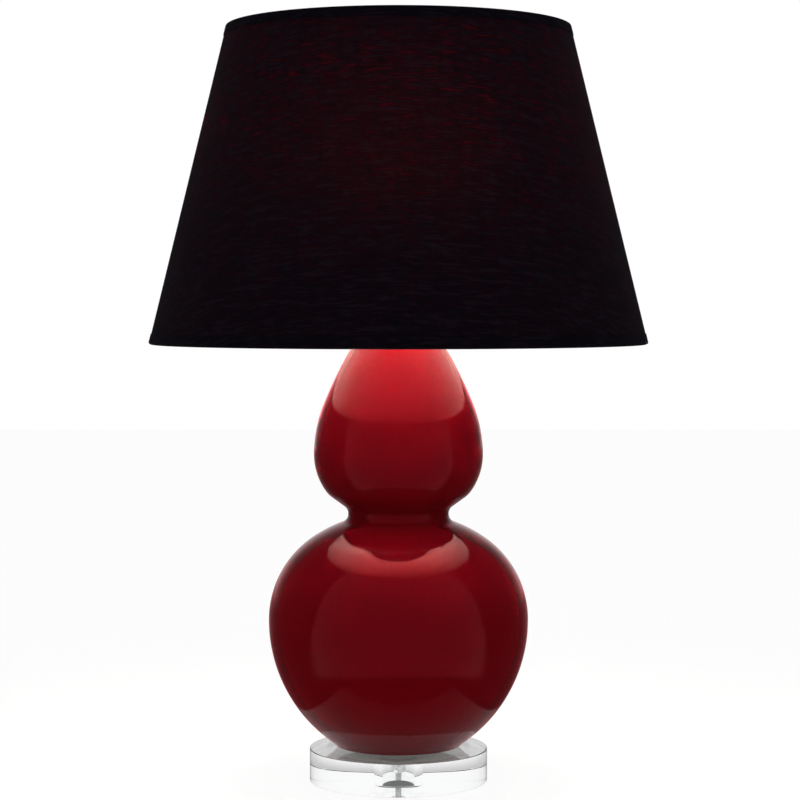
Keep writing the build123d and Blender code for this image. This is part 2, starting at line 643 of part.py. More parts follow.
def terminal_screws():
    """The two wire screws, one on each flat of the block."""
    start = (BLOCK_FLAT_HALF_WIDTH, 0, PLATE_Z + TERMINAL_HEIGHT)
    head = cross_rod(TERMINAL_HEAD_DIAMETER / 2, start, (1, 0, 0), TERMINAL_HEAD_HEIGHT)
    shank = cross_rod(TERMINAL_SHANK_DIAMETER / 2, start, (-1, 0, 0), TERMINAL_SHANK_LENGTH)
    slot = Box(TERMINAL_HEAD_HEIGHT, TERMINAL_HEAD_DIAMETER, TERMINAL_HEAD_DIAMETER / 6)
    screw = head + shank - Pos(start[0] + TERMINAL_HEAD_HEIGHT, 0, start[2]) * slot
    return Compound(on_both_sides(screw))


def screw_shell():
    """The threaded sleeve that takes the bulb's base."""
    outer = SCREW_SHELL_DIAMETER / 2
    return tube(outer, outer - SCREW_SHELL_METAL, BLOCK_Z, BLOCK_Z + SCREW_SHELL_HEIGHT)


def center_contact():
    """The springy tongue that touches the bulb's tip."""
    flat = CONTACT_LENGTH / 3
    lift = CONTACT_HEIGHT - CONTACT_METAL
    lower = [(-2 * flat, BLOCK_Z), (-flat, BLOCK_Z), (0, BLOCK_Z + lift), (flat, BLOCK_Z + lift)]
    upper = [(x, z + CONTACT_METAL) for x, z in reversed(lower)]
    strip = make_face(Polyline(*lower, *upper, close=True).edges())
    return extrude(Plane.XZ * strip, CONTACT_WIDTH / 2, both=True)


# ---- turn switch ---------------------------------------------------------------------------------
def switch_stem():
    """The metal stem from inside the block out into the knob."""
    start = STEM_IN_BLOCK - BLOCK_DIAMETER / 2
    return cross_rod(STEM_DIAMETER / 2, (0, start, SWITCH_Z), (0, -1, 0), KNOB_Y + STEM_IN_KNOB + start)


def switch_knob():
    """The moulded paddle knob with a round collar, bored for the stem."""
    collar = cross_rod(KNOB_COLLAR_DIAMETER / 2, (0, -KNOB_Y, SWITCH_Z), (0, -1, 0), KNOB_COLLAR_LENGTH)
    outline = RectangleRounded(KNOB_PADDLE_WIDTH, KNOB_PADDLE_THICKNESS, KNOB_ROUND)
    collar_end = Plane(origin=(0, -KNOB_Y - KNOB_COLLAR_LENGTH, SWITCH_Z), x_dir=(1, 0, 0), z_dir=(0, -1, 0))
    paddle = collar_end * extrude(outline, KNOB_PADDLE_LENGTH)
    bore = cross_rod(STEM_DIAMETER / 2 + SNUG, (0, -KNOB_Y, SWITCH_Z), (0, -1, 0), STEM_IN_KNOB)
    return collar + paddle - bore


# ---- bulb ----------------------------------------------------------------------------------------
def bulb_section(shrink):
    """Half the envelope's section, taken in by shrink: a globe, a flare and a neck that ends in the base."""
    globe, neck = BULB_GLOBE_DIAMETER / 2, BULB_NECK_DIAMETER / 2
    turn = math.radians(BULB_FLARE_ANGLE)
    centre = BULB_Z + BULB_LENGTH - globe
    flare = (globe * math.cos(turn) - neck) / (1 - math.cos(turn))
    flare_z = centre - (globe + flare) * math.sin(turn)
    seat = BULB_BASE_DIAMETER / 2 - BULB_BASE_METAL - SNUG
    rim = BULB_Z + BULB_BASE_TOP
    low = rim - BULB_NECK_IN_BASE
    ball, hollow = globe - shrink, flare + shrink
    middle = (neck + flare - hollow * math.cos(turn / 2), flare_z + hollow * math.sin(turn / 2))
    join = (ball * math.cos(turn), centre - ball * math.sin(turn))
    throat = [(0, low), (seat - shrink, low), (seat - shrink, rim), (neck - shrink, rim + neck - seat)]
    edges = [
        *Polyline(*throat, (neck - shrink, flare_z)).edges(),
        ThreePointArc((neck - shrink, flare_z), middle, join),
        ThreePointArc(join, (ball, centre), (0, centre + ball)),
        Line((0, centre + ball), (0, low)),
    ]
    return make_face(edges)


def bulb_glass():
    """The frosted envelope, hollow, with its neck open into the base."""
    wall = in_runs(bulb_section(0), BULB_TURN) - in_runs(bulb_section(BULB_GLASS), BULB_TURN)
    return revolve(Plane.XZ * wall, Axis.Z)


def bulb_base():
    """The thin metal screw base."""
    outer = BULB_BASE_DIAMETER / 2
    rim = BULB_INSULATOR_DIAMETER / 2
    low = BULB_Z + BULB_TIP_HEIGHT + BULB_INSULATOR_HEIGHT
    shoulder = low + outer - rim
    top = BULB_Z + BULB_BASE_TOP
    return turned(
        (rim - BULB_BASE_METAL, low),
        (rim, low),
        (outer, shoulder),
        (outer, top),
        (outer - BULB_BASE_METAL, top),
        (outer - BULB_BASE_METAL, shoulder + BULB_BASE_METAL / 2),
        (rim - BULB_BASE_METAL, low + BULB_BASE_METAL / 2),
    )


def bulb_insulator():
    """The glass cone between base and tip."""
    low = BULB_Z + BULB_TIP_HEIGHT
    high = low + BULB_INSULATOR_HEIGHT
    return turned((0, low), (BULB_TIP_DIAMETER / 2, low), (BULB_INSULATOR_DIAMETER / 2, high), (0, high))


def bulb_tip():
    """The solder contact."""
    edge = BULB_TIP_DIAMETER / 2
    high = BULB_Z + BULB_TIP_HEIGHT
    return turned((0, BULB_Z), (edge / 2, BULB_Z), (edge, high), (0, high))


# ---- shade ---------------------------------------------------------------------------------------
SHADE_RADIUS_LOW = SHADE_BOTTOM_DIAMETER / 2
SHADE_RADIUS_HIGH = SHADE_TOP_DIAMETER / 2
SLANT = math.hypot(SHADE_RADIUS_LOW - SHADE_RADIUS_HIGH, SHADE_HEIGHT)
FABRIC_DEPTH = TRIM_THICKNESS + GLUE
LINING_DEPTH = FABRIC_DEPTH + FABRIC_THICKNESS + GLUE
RING_DEPTH = LINING_DEPTH + LINING_THICKNESS + SNUG + RING_WIRE_DIAMETER / 2
RETURN_DEPTH = RING_DEPTH + RING_WIRE_DIAMETER / 2 + SNUG
CLOTH_EDGE = TRIM_THICKNESS + GLUE  # slant length from the trim's fold to the cloth's edge


def on_slant(up, depth):
    """The (radius, height) at a length up the slant from the bottom edge and a depth in from outside."""
    lean_r = (SHADE_RADIUS_HIGH - SHADE_RADIUS_LOW) / SLANT
    lean_z = SHADE_HEIGHT / SLANT
    return (SHADE_RADIUS_LOW + up * lean_r - depth * lean_z, SHADE_BOTTOM_Z + up * lean_z + depth * lean_r)


def slant_shell(low, high, near, far):
    """A conical band between two slant lengths and two depths."""
    corners = [(low, near), (high, near), (high, far), (low, far)]
    return turned(*[on_slant(up, depth) for up, depth in corners])


def shade_fabric():
    """The black cloth, with the lap of its glued seam at the back."""
    cloth = slant_shell(CLOTH_EDGE, SLANT - CLOTH_EDGE, FABRIC_DEPTH, FABRIC_DEPTH + FABRIC_THICKNESS)
    lap = slant_shell(TRIM_BAND + GLUE, SLANT - TRIM_BAND - GLUE, GLUE, FABRIC_DEPTH + FABRIC_THICKNESS / 2)
    back = Pos(0, SHADE_RADIUS_LOW, SHADE_BOTTOM_Z) * Box(SEAM_WIDTH, 2 * SHADE_RADIUS_LOW, 4 * SHADE_HEIGHT)
    return cloth + (lap & back)


def shade_lining():
    """The white laminated lining."""
    return slant_shell(CLOTH_EDGE, SLANT - CLOTH_EDGE, LINING_DEPTH, LINING_DEPTH + LINING_THICKNESS)


def shade_trim(at_top):
    """The folded tape that wraps one edge of the shade and the ring inside it."""
    corners = [
        (0, 0),
        (TRIM_BAND, 0),
        (TRIM_BAND, TRIM_THICKNESS),
        (TRIM_THICKNESS, TRIM_THICKNESS),
        (TRIM_THICKNESS, RETURN_DEPTH),
        (TRIM_RETURN, RETURN_DEPTH),
        (TRIM_RETURN, RETURN_DEPTH + TRIM_THICKNESS),
        (0, RETURN_DEPTH + TRIM_THICKNESS),
    ]
    return turned(*[on_slant(SLANT - up if at_top else up, depth) for up, depth in corners])


def shade_ring(at_top):
    """The wire ring inside one edge."""
    up = TRIM_THICKNESS + SNUG + RING_WIRE_DIAMETER / 2
    place = Pos(*on_slant(SLANT - up if at_top else up, RING_DEPTH))
    return revolve(Plane.XZ * (place * RegularPolygon(RING_WIRE_DIAMETER / 2, RING_FLATS)), Axis.Z)


def spider_washer():
    """The centre washer that sits on the harp's seat."""
    high = WASHER_Z + SPIDER_WASHER_THICKNESS
    return tube(SPIDER_WASHER_DIAMETER / 2, SPIDER_WASHER_HOLE / 2, WASHER_Z, high)


def spider_arms():
    """The arms welded to the washer at the centre and to the inside of the top ring."""
    wire = RING_WIRE_DIAMETER / 2
    ring_r, ring_z = on_slant(SLANT - TRIM_THICKNESS - SNUG - wire, RING_DEPTH)
    level = WASHER_Z + SPIDER_WASHER_THICKNESS + wire - SPIDER_FLAT
    points = [(SPIDER_ARM_START, level), (ring_r - SPIDER_RISE_RUN, level), (ring_r, ring_z - wire)]
    arm = bent_bar(wire_section(RING_WIRE_DIAMETER), points, SPIDER_BEND)
    arm = arm - spider_washer() - shade_ring(True) - shade_trim(True)
    arm = max(arm.solids(), key=lambda s: s.volume)
    return Compound([Rot(0, 0, 90 + k * 360 / SPIDER_ARMS) * arm for k in range(SPIDER_ARMS)])


# ---- finial --------------------------------------------------------------------------------------
def finial():
    """The turned finial, bored for the harp's stud: a foot, a neck and a bevelled knob."""
    knob, neck, foot = FINIAL_KNOB_DIAMETER / 2, FINIAL_NECK_DIAMETER / 2, FINIAL_FOOT_DIAMETER / 2
    bore = FINIAL_STUD_DIAMETER / 2 + RUNNING
    bore_top = SEAT_Z + FINIAL_STUD_HEIGHT + RUNNING
    top = FINIAL_Z + FINIAL_HEIGHT
    flare = FINIAL_Z + FINIAL_NECK_HEIGHT
    return turned(
        (bore, FINIAL_Z),
        (foot, FINIAL_Z),
        (foot, FINIAL_Z + FINIAL_FOOT_HEIGHT),
        (neck, FINIAL_Z + FINIAL_FOOT_HEIGHT),
        (neck, flare),
        (knob, flare + knob - neck),
        (knob, top - FINIAL_KNOB_BEVEL),
        (knob - FINIAL_KNOB_BEVEL, top),
        (0, top),
        (0, bore_top),
        (bore, bore_top),
    )


# ---- all sub-parts -------------------------------------------------------------------------------
PARTS = {
    "base_disc": base_disc,
    "base_washer": base_washer,
    "base_lock_washer": base_lock_washer,
    "base_nut": base_nut,
    "base_stud": base_stud,
    "base_spacer": base_spacer,
    "spacer_gasket": spacer_gasket,
    "gourd_body": gourd_body,
    "cord_bushing": cord_bushing,
    "rod_coupling": rod_coupling,
    "lamp_pipe": lamp_pipe,
    "neck_cap": neck_cap,
    "neck_column": neck_column,
    "harp_saddle": harp_saddle,
    "harp": harp,
    "harp_seat": harp_seat,
    "harp_sleeve_left": lambda: harp_sleeve(-1),
    "harp_sleeve_right": lambda: harp_sleeve(1),
    "holder_cap": holder_cap,
    "set_screw": set_screw,
    "holder_shell": holder_shell,
    "holder_liner": holder_liner,
    "switch_block": switch_block,
    "terminal_screws": terminal_screws,
    "screw_shell": screw_shell,
    "center_contact": center_contact,
    "switch_stem": switch_stem,
    "switch_knob": switch_knob,
    "bulb_glass": bulb_glass,
    "bulb_base": bulb_base,
    "bulb_insulator": bulb_insulator,
    "bulb_tip": bulb_tip,
    "shade_fabric": shade_fabric,
    "shade_lining": shade_lining,
    "shade_top_trim": lambda: shade_trim(True),
    "shade_bottom_trim": lambda: shade_trim(False),
    "shade_top_ring": lambda: shade_ring(True),
    "shade_bottom_ring": lambda: shade_ring(False),
    "spider_arms": spider_arms,
    "spider_washer": spider_washer,
    "finial": finial,
}

os.makedirs("parts", exist_ok=True)
for node, make in PARTS.items():
    save(node, make())
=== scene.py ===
# %% [markdown]
# # A double gourd table lamp
#
# The lamp has a red glazed ceramic body of two lobes, a thick clear acrylic disc as its foot, and a
# black cotton shade on a wire harp. It is lit, so the shade's white lining throws light down on the
# glaze and a faint red glow comes through the cloth. The CAD parts give every size and place; this
# scene gives each part its finish, and rebuilds the ones whose finish needs a smoother surface.

# %% Load the frame
import json
import math

import bmesh
import bpy
from mathutils import Matrix, Vector

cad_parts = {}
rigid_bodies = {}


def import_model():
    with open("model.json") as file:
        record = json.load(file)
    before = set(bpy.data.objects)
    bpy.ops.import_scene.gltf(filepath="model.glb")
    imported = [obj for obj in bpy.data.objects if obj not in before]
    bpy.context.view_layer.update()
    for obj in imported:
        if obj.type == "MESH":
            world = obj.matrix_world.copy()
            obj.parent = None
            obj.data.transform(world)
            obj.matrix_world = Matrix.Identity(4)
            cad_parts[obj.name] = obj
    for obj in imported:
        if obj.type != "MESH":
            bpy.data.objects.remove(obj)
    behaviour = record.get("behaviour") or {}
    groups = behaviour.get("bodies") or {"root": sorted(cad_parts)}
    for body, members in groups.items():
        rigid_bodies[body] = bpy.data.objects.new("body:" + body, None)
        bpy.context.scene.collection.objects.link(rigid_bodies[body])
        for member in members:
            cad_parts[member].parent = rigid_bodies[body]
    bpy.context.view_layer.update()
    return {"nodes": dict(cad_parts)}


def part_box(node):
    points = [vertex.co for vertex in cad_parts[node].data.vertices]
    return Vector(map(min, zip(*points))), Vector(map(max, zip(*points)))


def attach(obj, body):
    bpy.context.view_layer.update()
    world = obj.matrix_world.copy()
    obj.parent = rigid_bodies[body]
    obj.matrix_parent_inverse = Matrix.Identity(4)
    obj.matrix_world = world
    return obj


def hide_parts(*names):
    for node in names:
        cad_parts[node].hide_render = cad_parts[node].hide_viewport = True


for start in list(bpy.data.objects):
    bpy.data.objects.remove(start)
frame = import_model()

MM = 0.001
nodes = frame["nodes"]

# %% [markdown]
# ## Sizes come from the frame
#
# A piece that stands for a CAD node must have its size. Reading the node's box keeps the two in
# step: most of this lamp is turned on one upright axis, so a height range and a radius say nearly
# everything.

# %% Heights and radii of CAD nodes, in millimetres


def heights(node):
    """The lowest and highest height of a CAD node."""
    low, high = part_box(node)
    return low.z / MM, high.z / MM


def radius_of(node):
    """Half the width of a CAD node across X."""
    low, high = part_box(node)
    return (high.x - low.x) / 2 / MM


FOOT_Z, LIP_Z = heights("gourd_body")
SHADE_LOW_Z, SHADE_HIGH_Z = heights("shade_bottom_trim")[0], heights("shade_top_trim")[1]
SHADE_LOW_R, SHADE_HIGH_R = radius_of("shade_bottom_trim"), 166.0
SLANT = math.hypot(SHADE_LOW_R - SHADE_HIGH_R, SHADE_HIGH_Z - SHADE_LOW_Z)
LEAN = (SHADE_LOW_R - SHADE_HIGH_R) / SLANT
print("the ceramic goes from", round(FOOT_Z, 2), "to", round(LIP_Z, 2))
print("the shade goes from", round(SHADE_LOW_Z), "to", round(SHADE_HIGH_Z))

# %% [markdown]
# ## Shader sums as plain expressions
#
# A procedural finish is mostly arithmetic on patterns: a mask is one minus another mask, a colour
# is a blend by a mask. Wrapping a node's socket in a small class lets such sums be written in
# Python, and each operator adds the Math node that does it.

# %% Varying: a socket that can be added, multiplied and divided


class Varying:
    """A value that changes over a surface. Sums on it add Math nodes to the same finish."""

    def __init__(self, finish, socket):
        self.finish = finish
        self.socket = socket

    def sum(self, operation, first, second):
        return self.finish.node("Math", {"operation": operation}, {0: first, 1: second})

    def __add__(self, other):
        return self.sum("ADD", self, other)

    def __sub__(self, other):
        return self.sum("SUBTRACT", self, other)

    def __rsub__(self, other):
        return self.sum("SUBTRACT", other, self)

    def __mul__(self, other):
        return self.sum("MULTIPLY", self, other)

    def __truediv__(self, other):
        return self.sum("DIVIDE", self, other)

    def __rtruediv__(self, other):
        return self.sum("DIVIDE", other, self)

    def __pow__(self, other):
        return self.sum("POWER", self, other)

    __radd__ = __add__
    __rmul__ = __mul__


# %% Finish: one material and the nodes in it


class Finish:
    """A material, or the world, under construction."""

    def __init__(self, name, kind="materials"):
        self.material = getattr(bpy.data, kind).new(name)
        self.material.use_nodes = True
        self.tree = self.material.node_tree
        self.tree.nodes.clear()
        self.end = "OutputMaterial" if kind == "materials" else "OutputWorld"

    def node(self, kind, settings=None, sockets=None, output=0):
        """Adds a node of a type, with its settings and the values or links of its sockets."""
        made = self.tree.nodes.new("ShaderNode" + kind)
        for name, value in (settings or {}).items():
            setattr(made, name, value)
        for name, value in (sockets or {}).items():
            if isinstance(value, Varying):
                self.tree.links.new(value.socket, made.inputs[name])
            else:
                made.inputs[name].default_value = value
        return Varying(self, made.outputs[output]) if made.outputs else None

    def place(self):
        """The point on the object, in metres."""
        return self.node("TexCoord", output="Object")

    def parts(self, vector):
        """The x, y and z of a vector."""
        return [self.node("SeparateXYZ", None, {0: vector}, k) for k in range(3)]

    def stretched(self, vector, *factors):
        """A vector with each axis multiplied by its own factor."""
        return self.node("VectorMath", {"operation": "MULTIPLY"}, {0: vector, 1: factors})

    def noise(self, vector, scale, detail=2.0, roughness=0.5):
        sockets = {"Vector": vector, "Scale": scale, "Detail": detail, "Roughness": roughness}
        return self.node("TexNoise", None, sockets)

    def between(self, value, low, high):
        """A smooth step from 0 at low to 1 at high."""
        sockets = {"Value": value, "From Min": low, "From Max": high}
        return self.node("MapRange", {"interpolation_type": "SMOOTHSTEP"}, sockets)

    def blend(self, mask, first, second):
        """A colour between two colours."""
        colours = [c if isinstance(c, Varying) else (*c, 1.0) for c in (first, second)]
        return self.node("Mix", {"data_type": "RGBA"}, {0: mask, 6: colours[0], 7: colours[1]}, 2)

    def bump(self, height, depth, strength=1.0):
        """A normal from a height between 0 and 1 that stands for a depth in metres."""
        return self.node("Bump", None, {"Height": height, "Distance": depth, "Strength": strength})

    def surface(self, **values):
        """The main shader; a name such as base_color is the socket Base Color."""
        names = {"ior": "IOR", "specular_ior_level": "Specular IOR Level", "coat_ior": "Coat IOR"}
        titles = {name: names.get(name, name.replace("_", " ").title()) for name in values}
        sockets = {titles[name]: value for name, value in values.items()}
        return self.node("BsdfPrincipled", None, sockets)

    def done(self, shader):
        self.node(self.end, None, {"Surface": shader})
        print("finish", self.material.name, "has", len(self.tree.nodes), "nodes")
        return self.material


# %% [markdown]
# ## Red glaze and bare clay
#
# The body is slip cast, dipped in a deep ruby glaze and fired. A glossy glaze is a glass layer:
# the colour lies under a clear mirror. Where the glaze runs thin, at the lip, the colour is
# brighter, and where it pools, in random clouds over the body, it is darker. The mirror of a coloured
# glaze tints what it shows face on and stays white at a glancing angle, which is what a red specular tint
# does. A little red sheen lights the rim, where one looks through a long way of glaze. The inside
# and the foot stay bare, as pale porous clay.

# %% Red glaze
GLAZE = (0.135, 0.0014, 0.0045)
GLAZE_THIN = (0.27, 0.008, 0.012)
GLAZE_POOLED = (0.115, 0.0011, 0.0040)


def make_red_glaze():
    glaze = Finish("red_glaze")
    place = glaze.place()
    height = glaze.parts(place)[2]
    cloud = glaze.noise(place, 9.0, 3.0)
    pooled = glaze.blend(glaze.between(cloud, 0.35, 0.75) * 0.55, GLAZE, GLAZE_POOLED)
    thin = glaze.between(height, (LIP_Z - 3.5) * MM, (LIP_Z - 0.5) * MM)
    colour = glaze.blend(thin * 0.8, pooled, GLAZE_THIN)
    specks = glaze.between(glaze.noise(place, 900.0, 1.0), 0.71, 0.76)
    colour = glaze.blend(specks * 0.35, colour, GLAZE_POOLED)
    ripple = glaze.noise(place, 60.0, 1.0)
    return glaze.done(glaze.surface(
        base_color=colour,
        roughness=0.03 + 0.03 * glaze.noise(place, 25.0),
        ior=1.52,
        specular_tint=(1.0, 0.07, 0.09, 1.0),
        sheen_weight=0.6,
        sheen_roughness=0.25,
        sheen_tint=(1.0, 0.06, 0.09, 1.0),
        normal=glaze.bump(ripple, 0.00006),
    ))


red_glaze = make_red_glaze()

# %% Bare clay


def make_bare_clay():
    clay = Finish("bare_clay")
    place = clay.place()
    grain = clay.noise(place, 1400.0, 4.0)
    stain = clay.between(clay.noise(place, 30.0), 0.4, 0.7)
    colour = clay.blend(stain, (0.62, 0.55, 0.46), (0.50, 0.42, 0.34))
    return clay.done(clay.surface(
        base_color=colour,
        roughness=0.82 + 0.1 * grain,
        normal=clay.bump(grain, 0.00012),
    ))


bare_clay = make_bare_clay()

# %% [markdown]
# ## Metals
#
# Polished nickel on the spacer, cap, column, holder, harp and finial: nearly a mirror, a little
# warm, with a faint haze of handling that shows only in the roughness. The hidden hardware is zinc
# plated steel, which is duller and slightly blue, with cloudy patches from the bath. Brass,
# aluminium and solder belong to the electric parts.

# %% Metal finishes


def make_metal(name, tone, patch_tone, roughness, patches=45.0, scratches=0.3):
    """A plated metal with cloudy patches, fine scratches and a haze of handling."""
    metal = Finish(name)
    place = metal.place()
    patch = metal.between(metal.noise(place, patches, 3.0), 0.35, 0.7)
    lines = metal.noise(metal.stretched(place, 2600.0, 2600.0, 120.0), 1.0, 2.0)
    haze = metal.noise(place, 140.0, 3.0)
    return metal.done(metal.surface(
        base_color=metal.blend(patch, tone, patch_tone),
        metallic=1.0,
        roughness=roughness + 0.12 * haze * haze + scratches * 0.12 * lines,
        normal=metal.bump(lines, 0.000006 * scratches),
    ))


nickel = make_metal("polished_nickel", (0.72, 0.69, 0.64), (0.66, 0.63, 0.585), 0.05)
zinc = make_metal("zinc_steel", (0.68, 0.69, 0.70), (0.58, 0.59, 0.60), 0.14, 160.0, 0.6)
brass = make_metal("brass", (0.70, 0.50, 0.22), (0.58, 0.40, 0.17), 0.2, 120.0, 0.6)
aluminium = make_metal("aluminium", (0.74, 0.75, 0.76), (0.66, 0.67, 0.68), 0.26, 120.0, 0.8)
solder = make_metal("solder", (0.48, 0.48, 0.46), (0.38, 0.38, 0.37), 0.38, 300.0, 0.4)

# %% [markdown]
# ## Clear and moulded stuff
#
# The disc is cast acrylic: clear, with polished faces, so all that is seen in it is bent light from
# around and from its own steel fastening. Ordinary transmission with acrylic's index does that, and
# the finest of wear marks keep it from looking like nothing. The small plastics are moulded, with
# the faint orange peel of a steel mould.

# %% Acrylic, vinyl, plastics and card


def make_acrylic():
    acrylic = Finish("clear_acrylic")
    place = acrylic.place()
    height = acrylic.parts(place)[2]
    rub = acrylic.noise(acrylic.stretched(place, 260.0, 900.0, 260.0), 1.0, 3.0)
    under = 1.0 - acrylic.between(height, 0.0, 0.3 * MM)
    return acrylic.done(acrylic.surface(
        base_color=(0.985, 0.992, 0.992, 1.0),
        roughness=0.02 * under * rub,
        ior=1.49,
        transmission_weight=1.0,
        normal=acrylic.bump(rub, 0.000002),
    ))


def make_moulded(name, tone, worn_tone, roughness, peel=0.00002):
    """A moulded plastic with orange peel and slightly paler rubbed patches."""
    plastic = Finish(name)
    place = plastic.place()
    peeled = plastic.noise(place, 1100.0, 2.0)
    rubbed = plastic.between(plastic.noise(place, 90.0, 3.0), 0.5, 0.8)
    return plastic.done(plastic.surface(
        base_color=plastic.blend(rubbed, tone, worn_tone),
        roughness=roughness + 0.12 * peeled,
        normal=plastic.bump(peeled, peel),
    ))


def make_card():
    card = Finish("cardboard")
    place = card.place()
    fibre = card.noise(card.stretched(place, 500.0, 500.0, 2400.0), 1.0, 4.0)
    return card.done(card.surface(
        base_color=card.blend(fibre, (0.40, 0.29, 0.18), (0.52, 0.40, 0.27)),
        roughness=0.75 + 0.15 * fibre,
        normal=card.bump(fibre, 0.00004),
    ))


acrylic = make_acrylic()
vinyl = make_moulded("clear_washer", (0.62, 0.62, 0.60), (0.70, 0.70, 0.68), 0.32)
black_plastic = make_moulded("black_plastic", (0.012, 0.012, 0.013), (0.022, 0.022, 0.023), 0.24)
phenolic = make_moulded("phenolic", (0.040, 0.026, 0.020), (0.060, 0.040, 0.030), 0.36)
base_glass = make_moulded("base_glass", (0.010, 0.008, 0.012), (0.016, 0.013, 0.018), 0.06, 0.000004)
white_wire = make_moulded("shade_wire", (0.78, 0.77, 0.74), (0.68, 0.67, 0.64), 0.3, 0.00003)
card = make_card()

# %% [markdown]
# ## The lit bulb
#
# A frosted envelope scatters the filament's light so evenly that the whole globe glows. Light that
# leaves a surface is an emission, and this one really lights the scene: the lining, the glaze below
# and the harp around it. The neck is a little dimmer than the globe, because less light gets there.

# %% Frosted glass that glows
BULB_LOW, BULB_HIGH = heights("bulb_glass")
BULB_LIGHT = 235.0


def make_lit_glass():
    frost = Finish("frosted_glass")
    place = frost.place()
    height = frost.parts(place)[2]
    grain = frost.noise(place, 1800.0, 2.0)
    globe = frost.between(height, (BULB_LOW + 8) * MM, (BULB_LOW + 60) * MM)
    light = frost.blend(globe, (0.42, 0.30, 0.24), (1.0, 0.84, 0.76))
    return frost.done(frost.surface(
        base_color=frost.blend(grain, (0.86, 0.85, 0.82), (0.93, 0.92, 0.90)),
        roughness=0.35 + 0.2 * grain,
        emission_color=light,
        emission_strength=BULB_LIGHT,
        normal=frost.bump(grain, 0.00001),
    ))


lit_glass = make_lit_glass()

# %% [markdown]
# ## Black slub cotton, its tape and the white lining
#
# The shade's cloth is a plain weave of uneven yarn. Thick places in the yarn, called slubs, run as
# short streaks along the weft, and the thin places between them let a little of the lamp's light
# out, reddened by the dye. The pattern follows the cloth as it was cut flat, so it reads the
# piece's own map and not the object's axes. Light that goes straight through the weave is a small
# see-through share of the surface. Light that the thin yarns scatter on its way out leaves the
# cloth evenly, so that part is a painted glow: an emission that follows the yarn pattern and is
# painted strongest where the bulb is near and the cloth faces it.

# %% Cloth, tape and lining
CLOTH = (0.0016, 0.0013, 0.0029)
CLOTH_SLUB = (0.0095, 0.0062, 0.0105)
GAP_LIGHT = (1.0, 0.015, 0.05, 1.0)
YARN = 0.00055
SEE_THROUGH, PAINTED_GLOW_LIGHT = 0.0009, 0.022
BULB_TO_CLOTH = 0.19  # metres from the bulb's middle to the cloth level with it


def yarn_patterns(cloth):
    """Fine and coarse streaks of the weft, the warp's, the grid of crossings, and thin patches."""
    flat = cloth.node("UVMap", {"uv_map": "cut"})
    fine = cloth.noise(cloth.stretched(flat, 55.0, 400.0, 1.0), 1.0, 2.0, 0.6)
    coarse = cloth.noise(cloth.stretched(flat, 20.0, 210.0, 1.0), 1.0, 2.0, 0.6)
    warp = cloth.noise(cloth.stretched(flat, 700.0, 30.0, 1.0), 1.0, 2.0)
    patch = cloth.noise(cloth.stretched(flat, 10.0, 18.0, 1.0), 1.0, 2.0)
    u, v = cloth.parts(flat)[:2]
    across = cloth.node("Math", {"operation": "SINE"}, {0: u * (math.tau / YARN)})
    along = cloth.node("Math", {"operation": "SINE"}, {0: v * (math.tau / YARN)})
    return fine, coarse, warp, 0.5 + 0.5 * across * along, patch


def lit_from_inside(cloth):
    """A painted estimate of how strongly the bulb lights the cloth's back: about 1 level with the bulb,
    less elsewhere.
    """
    x, y, z = cloth.parts(cloth.place())
    above = z - (BULB_HIGH - radius_of("bulb_glass")) * MM
    away = cloth.node("Math", {"operation": "SQRT"}, {0: x * x + y * y})
    reach = cloth.node("Math", {"operation": "SQRT"}, {0: x * x + y * y + above * above})
    facing = (away * math.sqrt(1 - LEAN**2) + above * LEAN) / reach
    return facing**3.0 * (BULB_TO_CLOTH / reach) ** 2.0


def make_cloth(name, see_through=0.0, light=0.0):
    """Slub cotton. see_through is the open share of the weave, light the strength of a painted glow for
    what its yarns scatter.
    """
    cloth = Finish(name)
    fine, coarse, warp, grid, patch = yarn_patterns(cloth)
    thin = cloth.between(1.0 - 0.75 * fine - 0.25 * coarse, 0.44, 0.64)
    light_warp = cloth.between(warp, 0.4, 0.7)
    worn = 0.8 + 0.5 * cloth.between(patch, 0.35, 0.65)
    open_yarns = 0.05 + 4.6 * thin**3.0 * worn + 0.2 * light_warp
    # painted glow: the bulb's light through the thin yarns, painted into the cloth as an emission by
    # formula
    painted_glow = 0.15 * open_yarns * lit_from_inside(cloth)
    slub = cloth.between(0.6 * fine + 0.4 * coarse, 0.46, 0.62)
    thick = 0.6 * slub + 0.25 * warp + 0.15 * grid
    body = cloth.surface(
        base_color=cloth.blend(thick, CLOTH, CLOTH_SLUB),
        roughness=0.88,
        specular_ior_level=0.03,
        sheen_weight=0.02,
        sheen_roughness=0.4,
        sheen_tint=(0.8, 0.7, 1.0, 1.0),
        normal=cloth.bump(0.7 * fine + 0.3 * grid, 0.00025),
        emission_color=cloth.blend(painted_glow, (0.0, 0.0, 0.0), GAP_LIGHT[:3]),
        emission_strength=light,
    )
    if not see_through:
        return cloth.done(body)
    gaps = cloth.node("BsdfTransparent", None, {"Color": GAP_LIGHT})
    return cloth.done(cloth.node("MixShader", None, {0: see_through, 1: body, 2: gaps}))


LINING_GLOW, LINING_STRAIGHT = 0.26, 0.45
LINING_LIGHT = (1.0, 0.9, 0.8, 1.0)


def make_lining():
    lining = Finish("white_lining")
    place = lining.place()
    fibre = lining.noise(place, 700.0, 4.0)
    faint = lining.noise(place, 22.0, 2.0)
    body = lining.surface(
        base_color=lining.blend(faint, (0.74, 0.73, 0.71), (0.69, 0.675, 0.65)),
        roughness=0.42 + 0.2 * fibre,
        specular_ior_level=0.3,
        normal=lining.bump(fibre, 0.00004),
    )
    spread = lining.node("BsdfTranslucent", None, {"Color": LINING_LIGHT})
    rough = {"Color": LINING_LIGHT, "Roughness": 1.0, "IOR": 1.7}
    ahead = lining.node("BsdfRefraction", None, rough)
    through = lining.node("MixShader", None, {0: LINING_STRAIGHT, 1: spread, 2: ahead})
    return lining.done(lining.node("MixShader", None, {0: LINING_GLOW, 1: body, 2: through}))


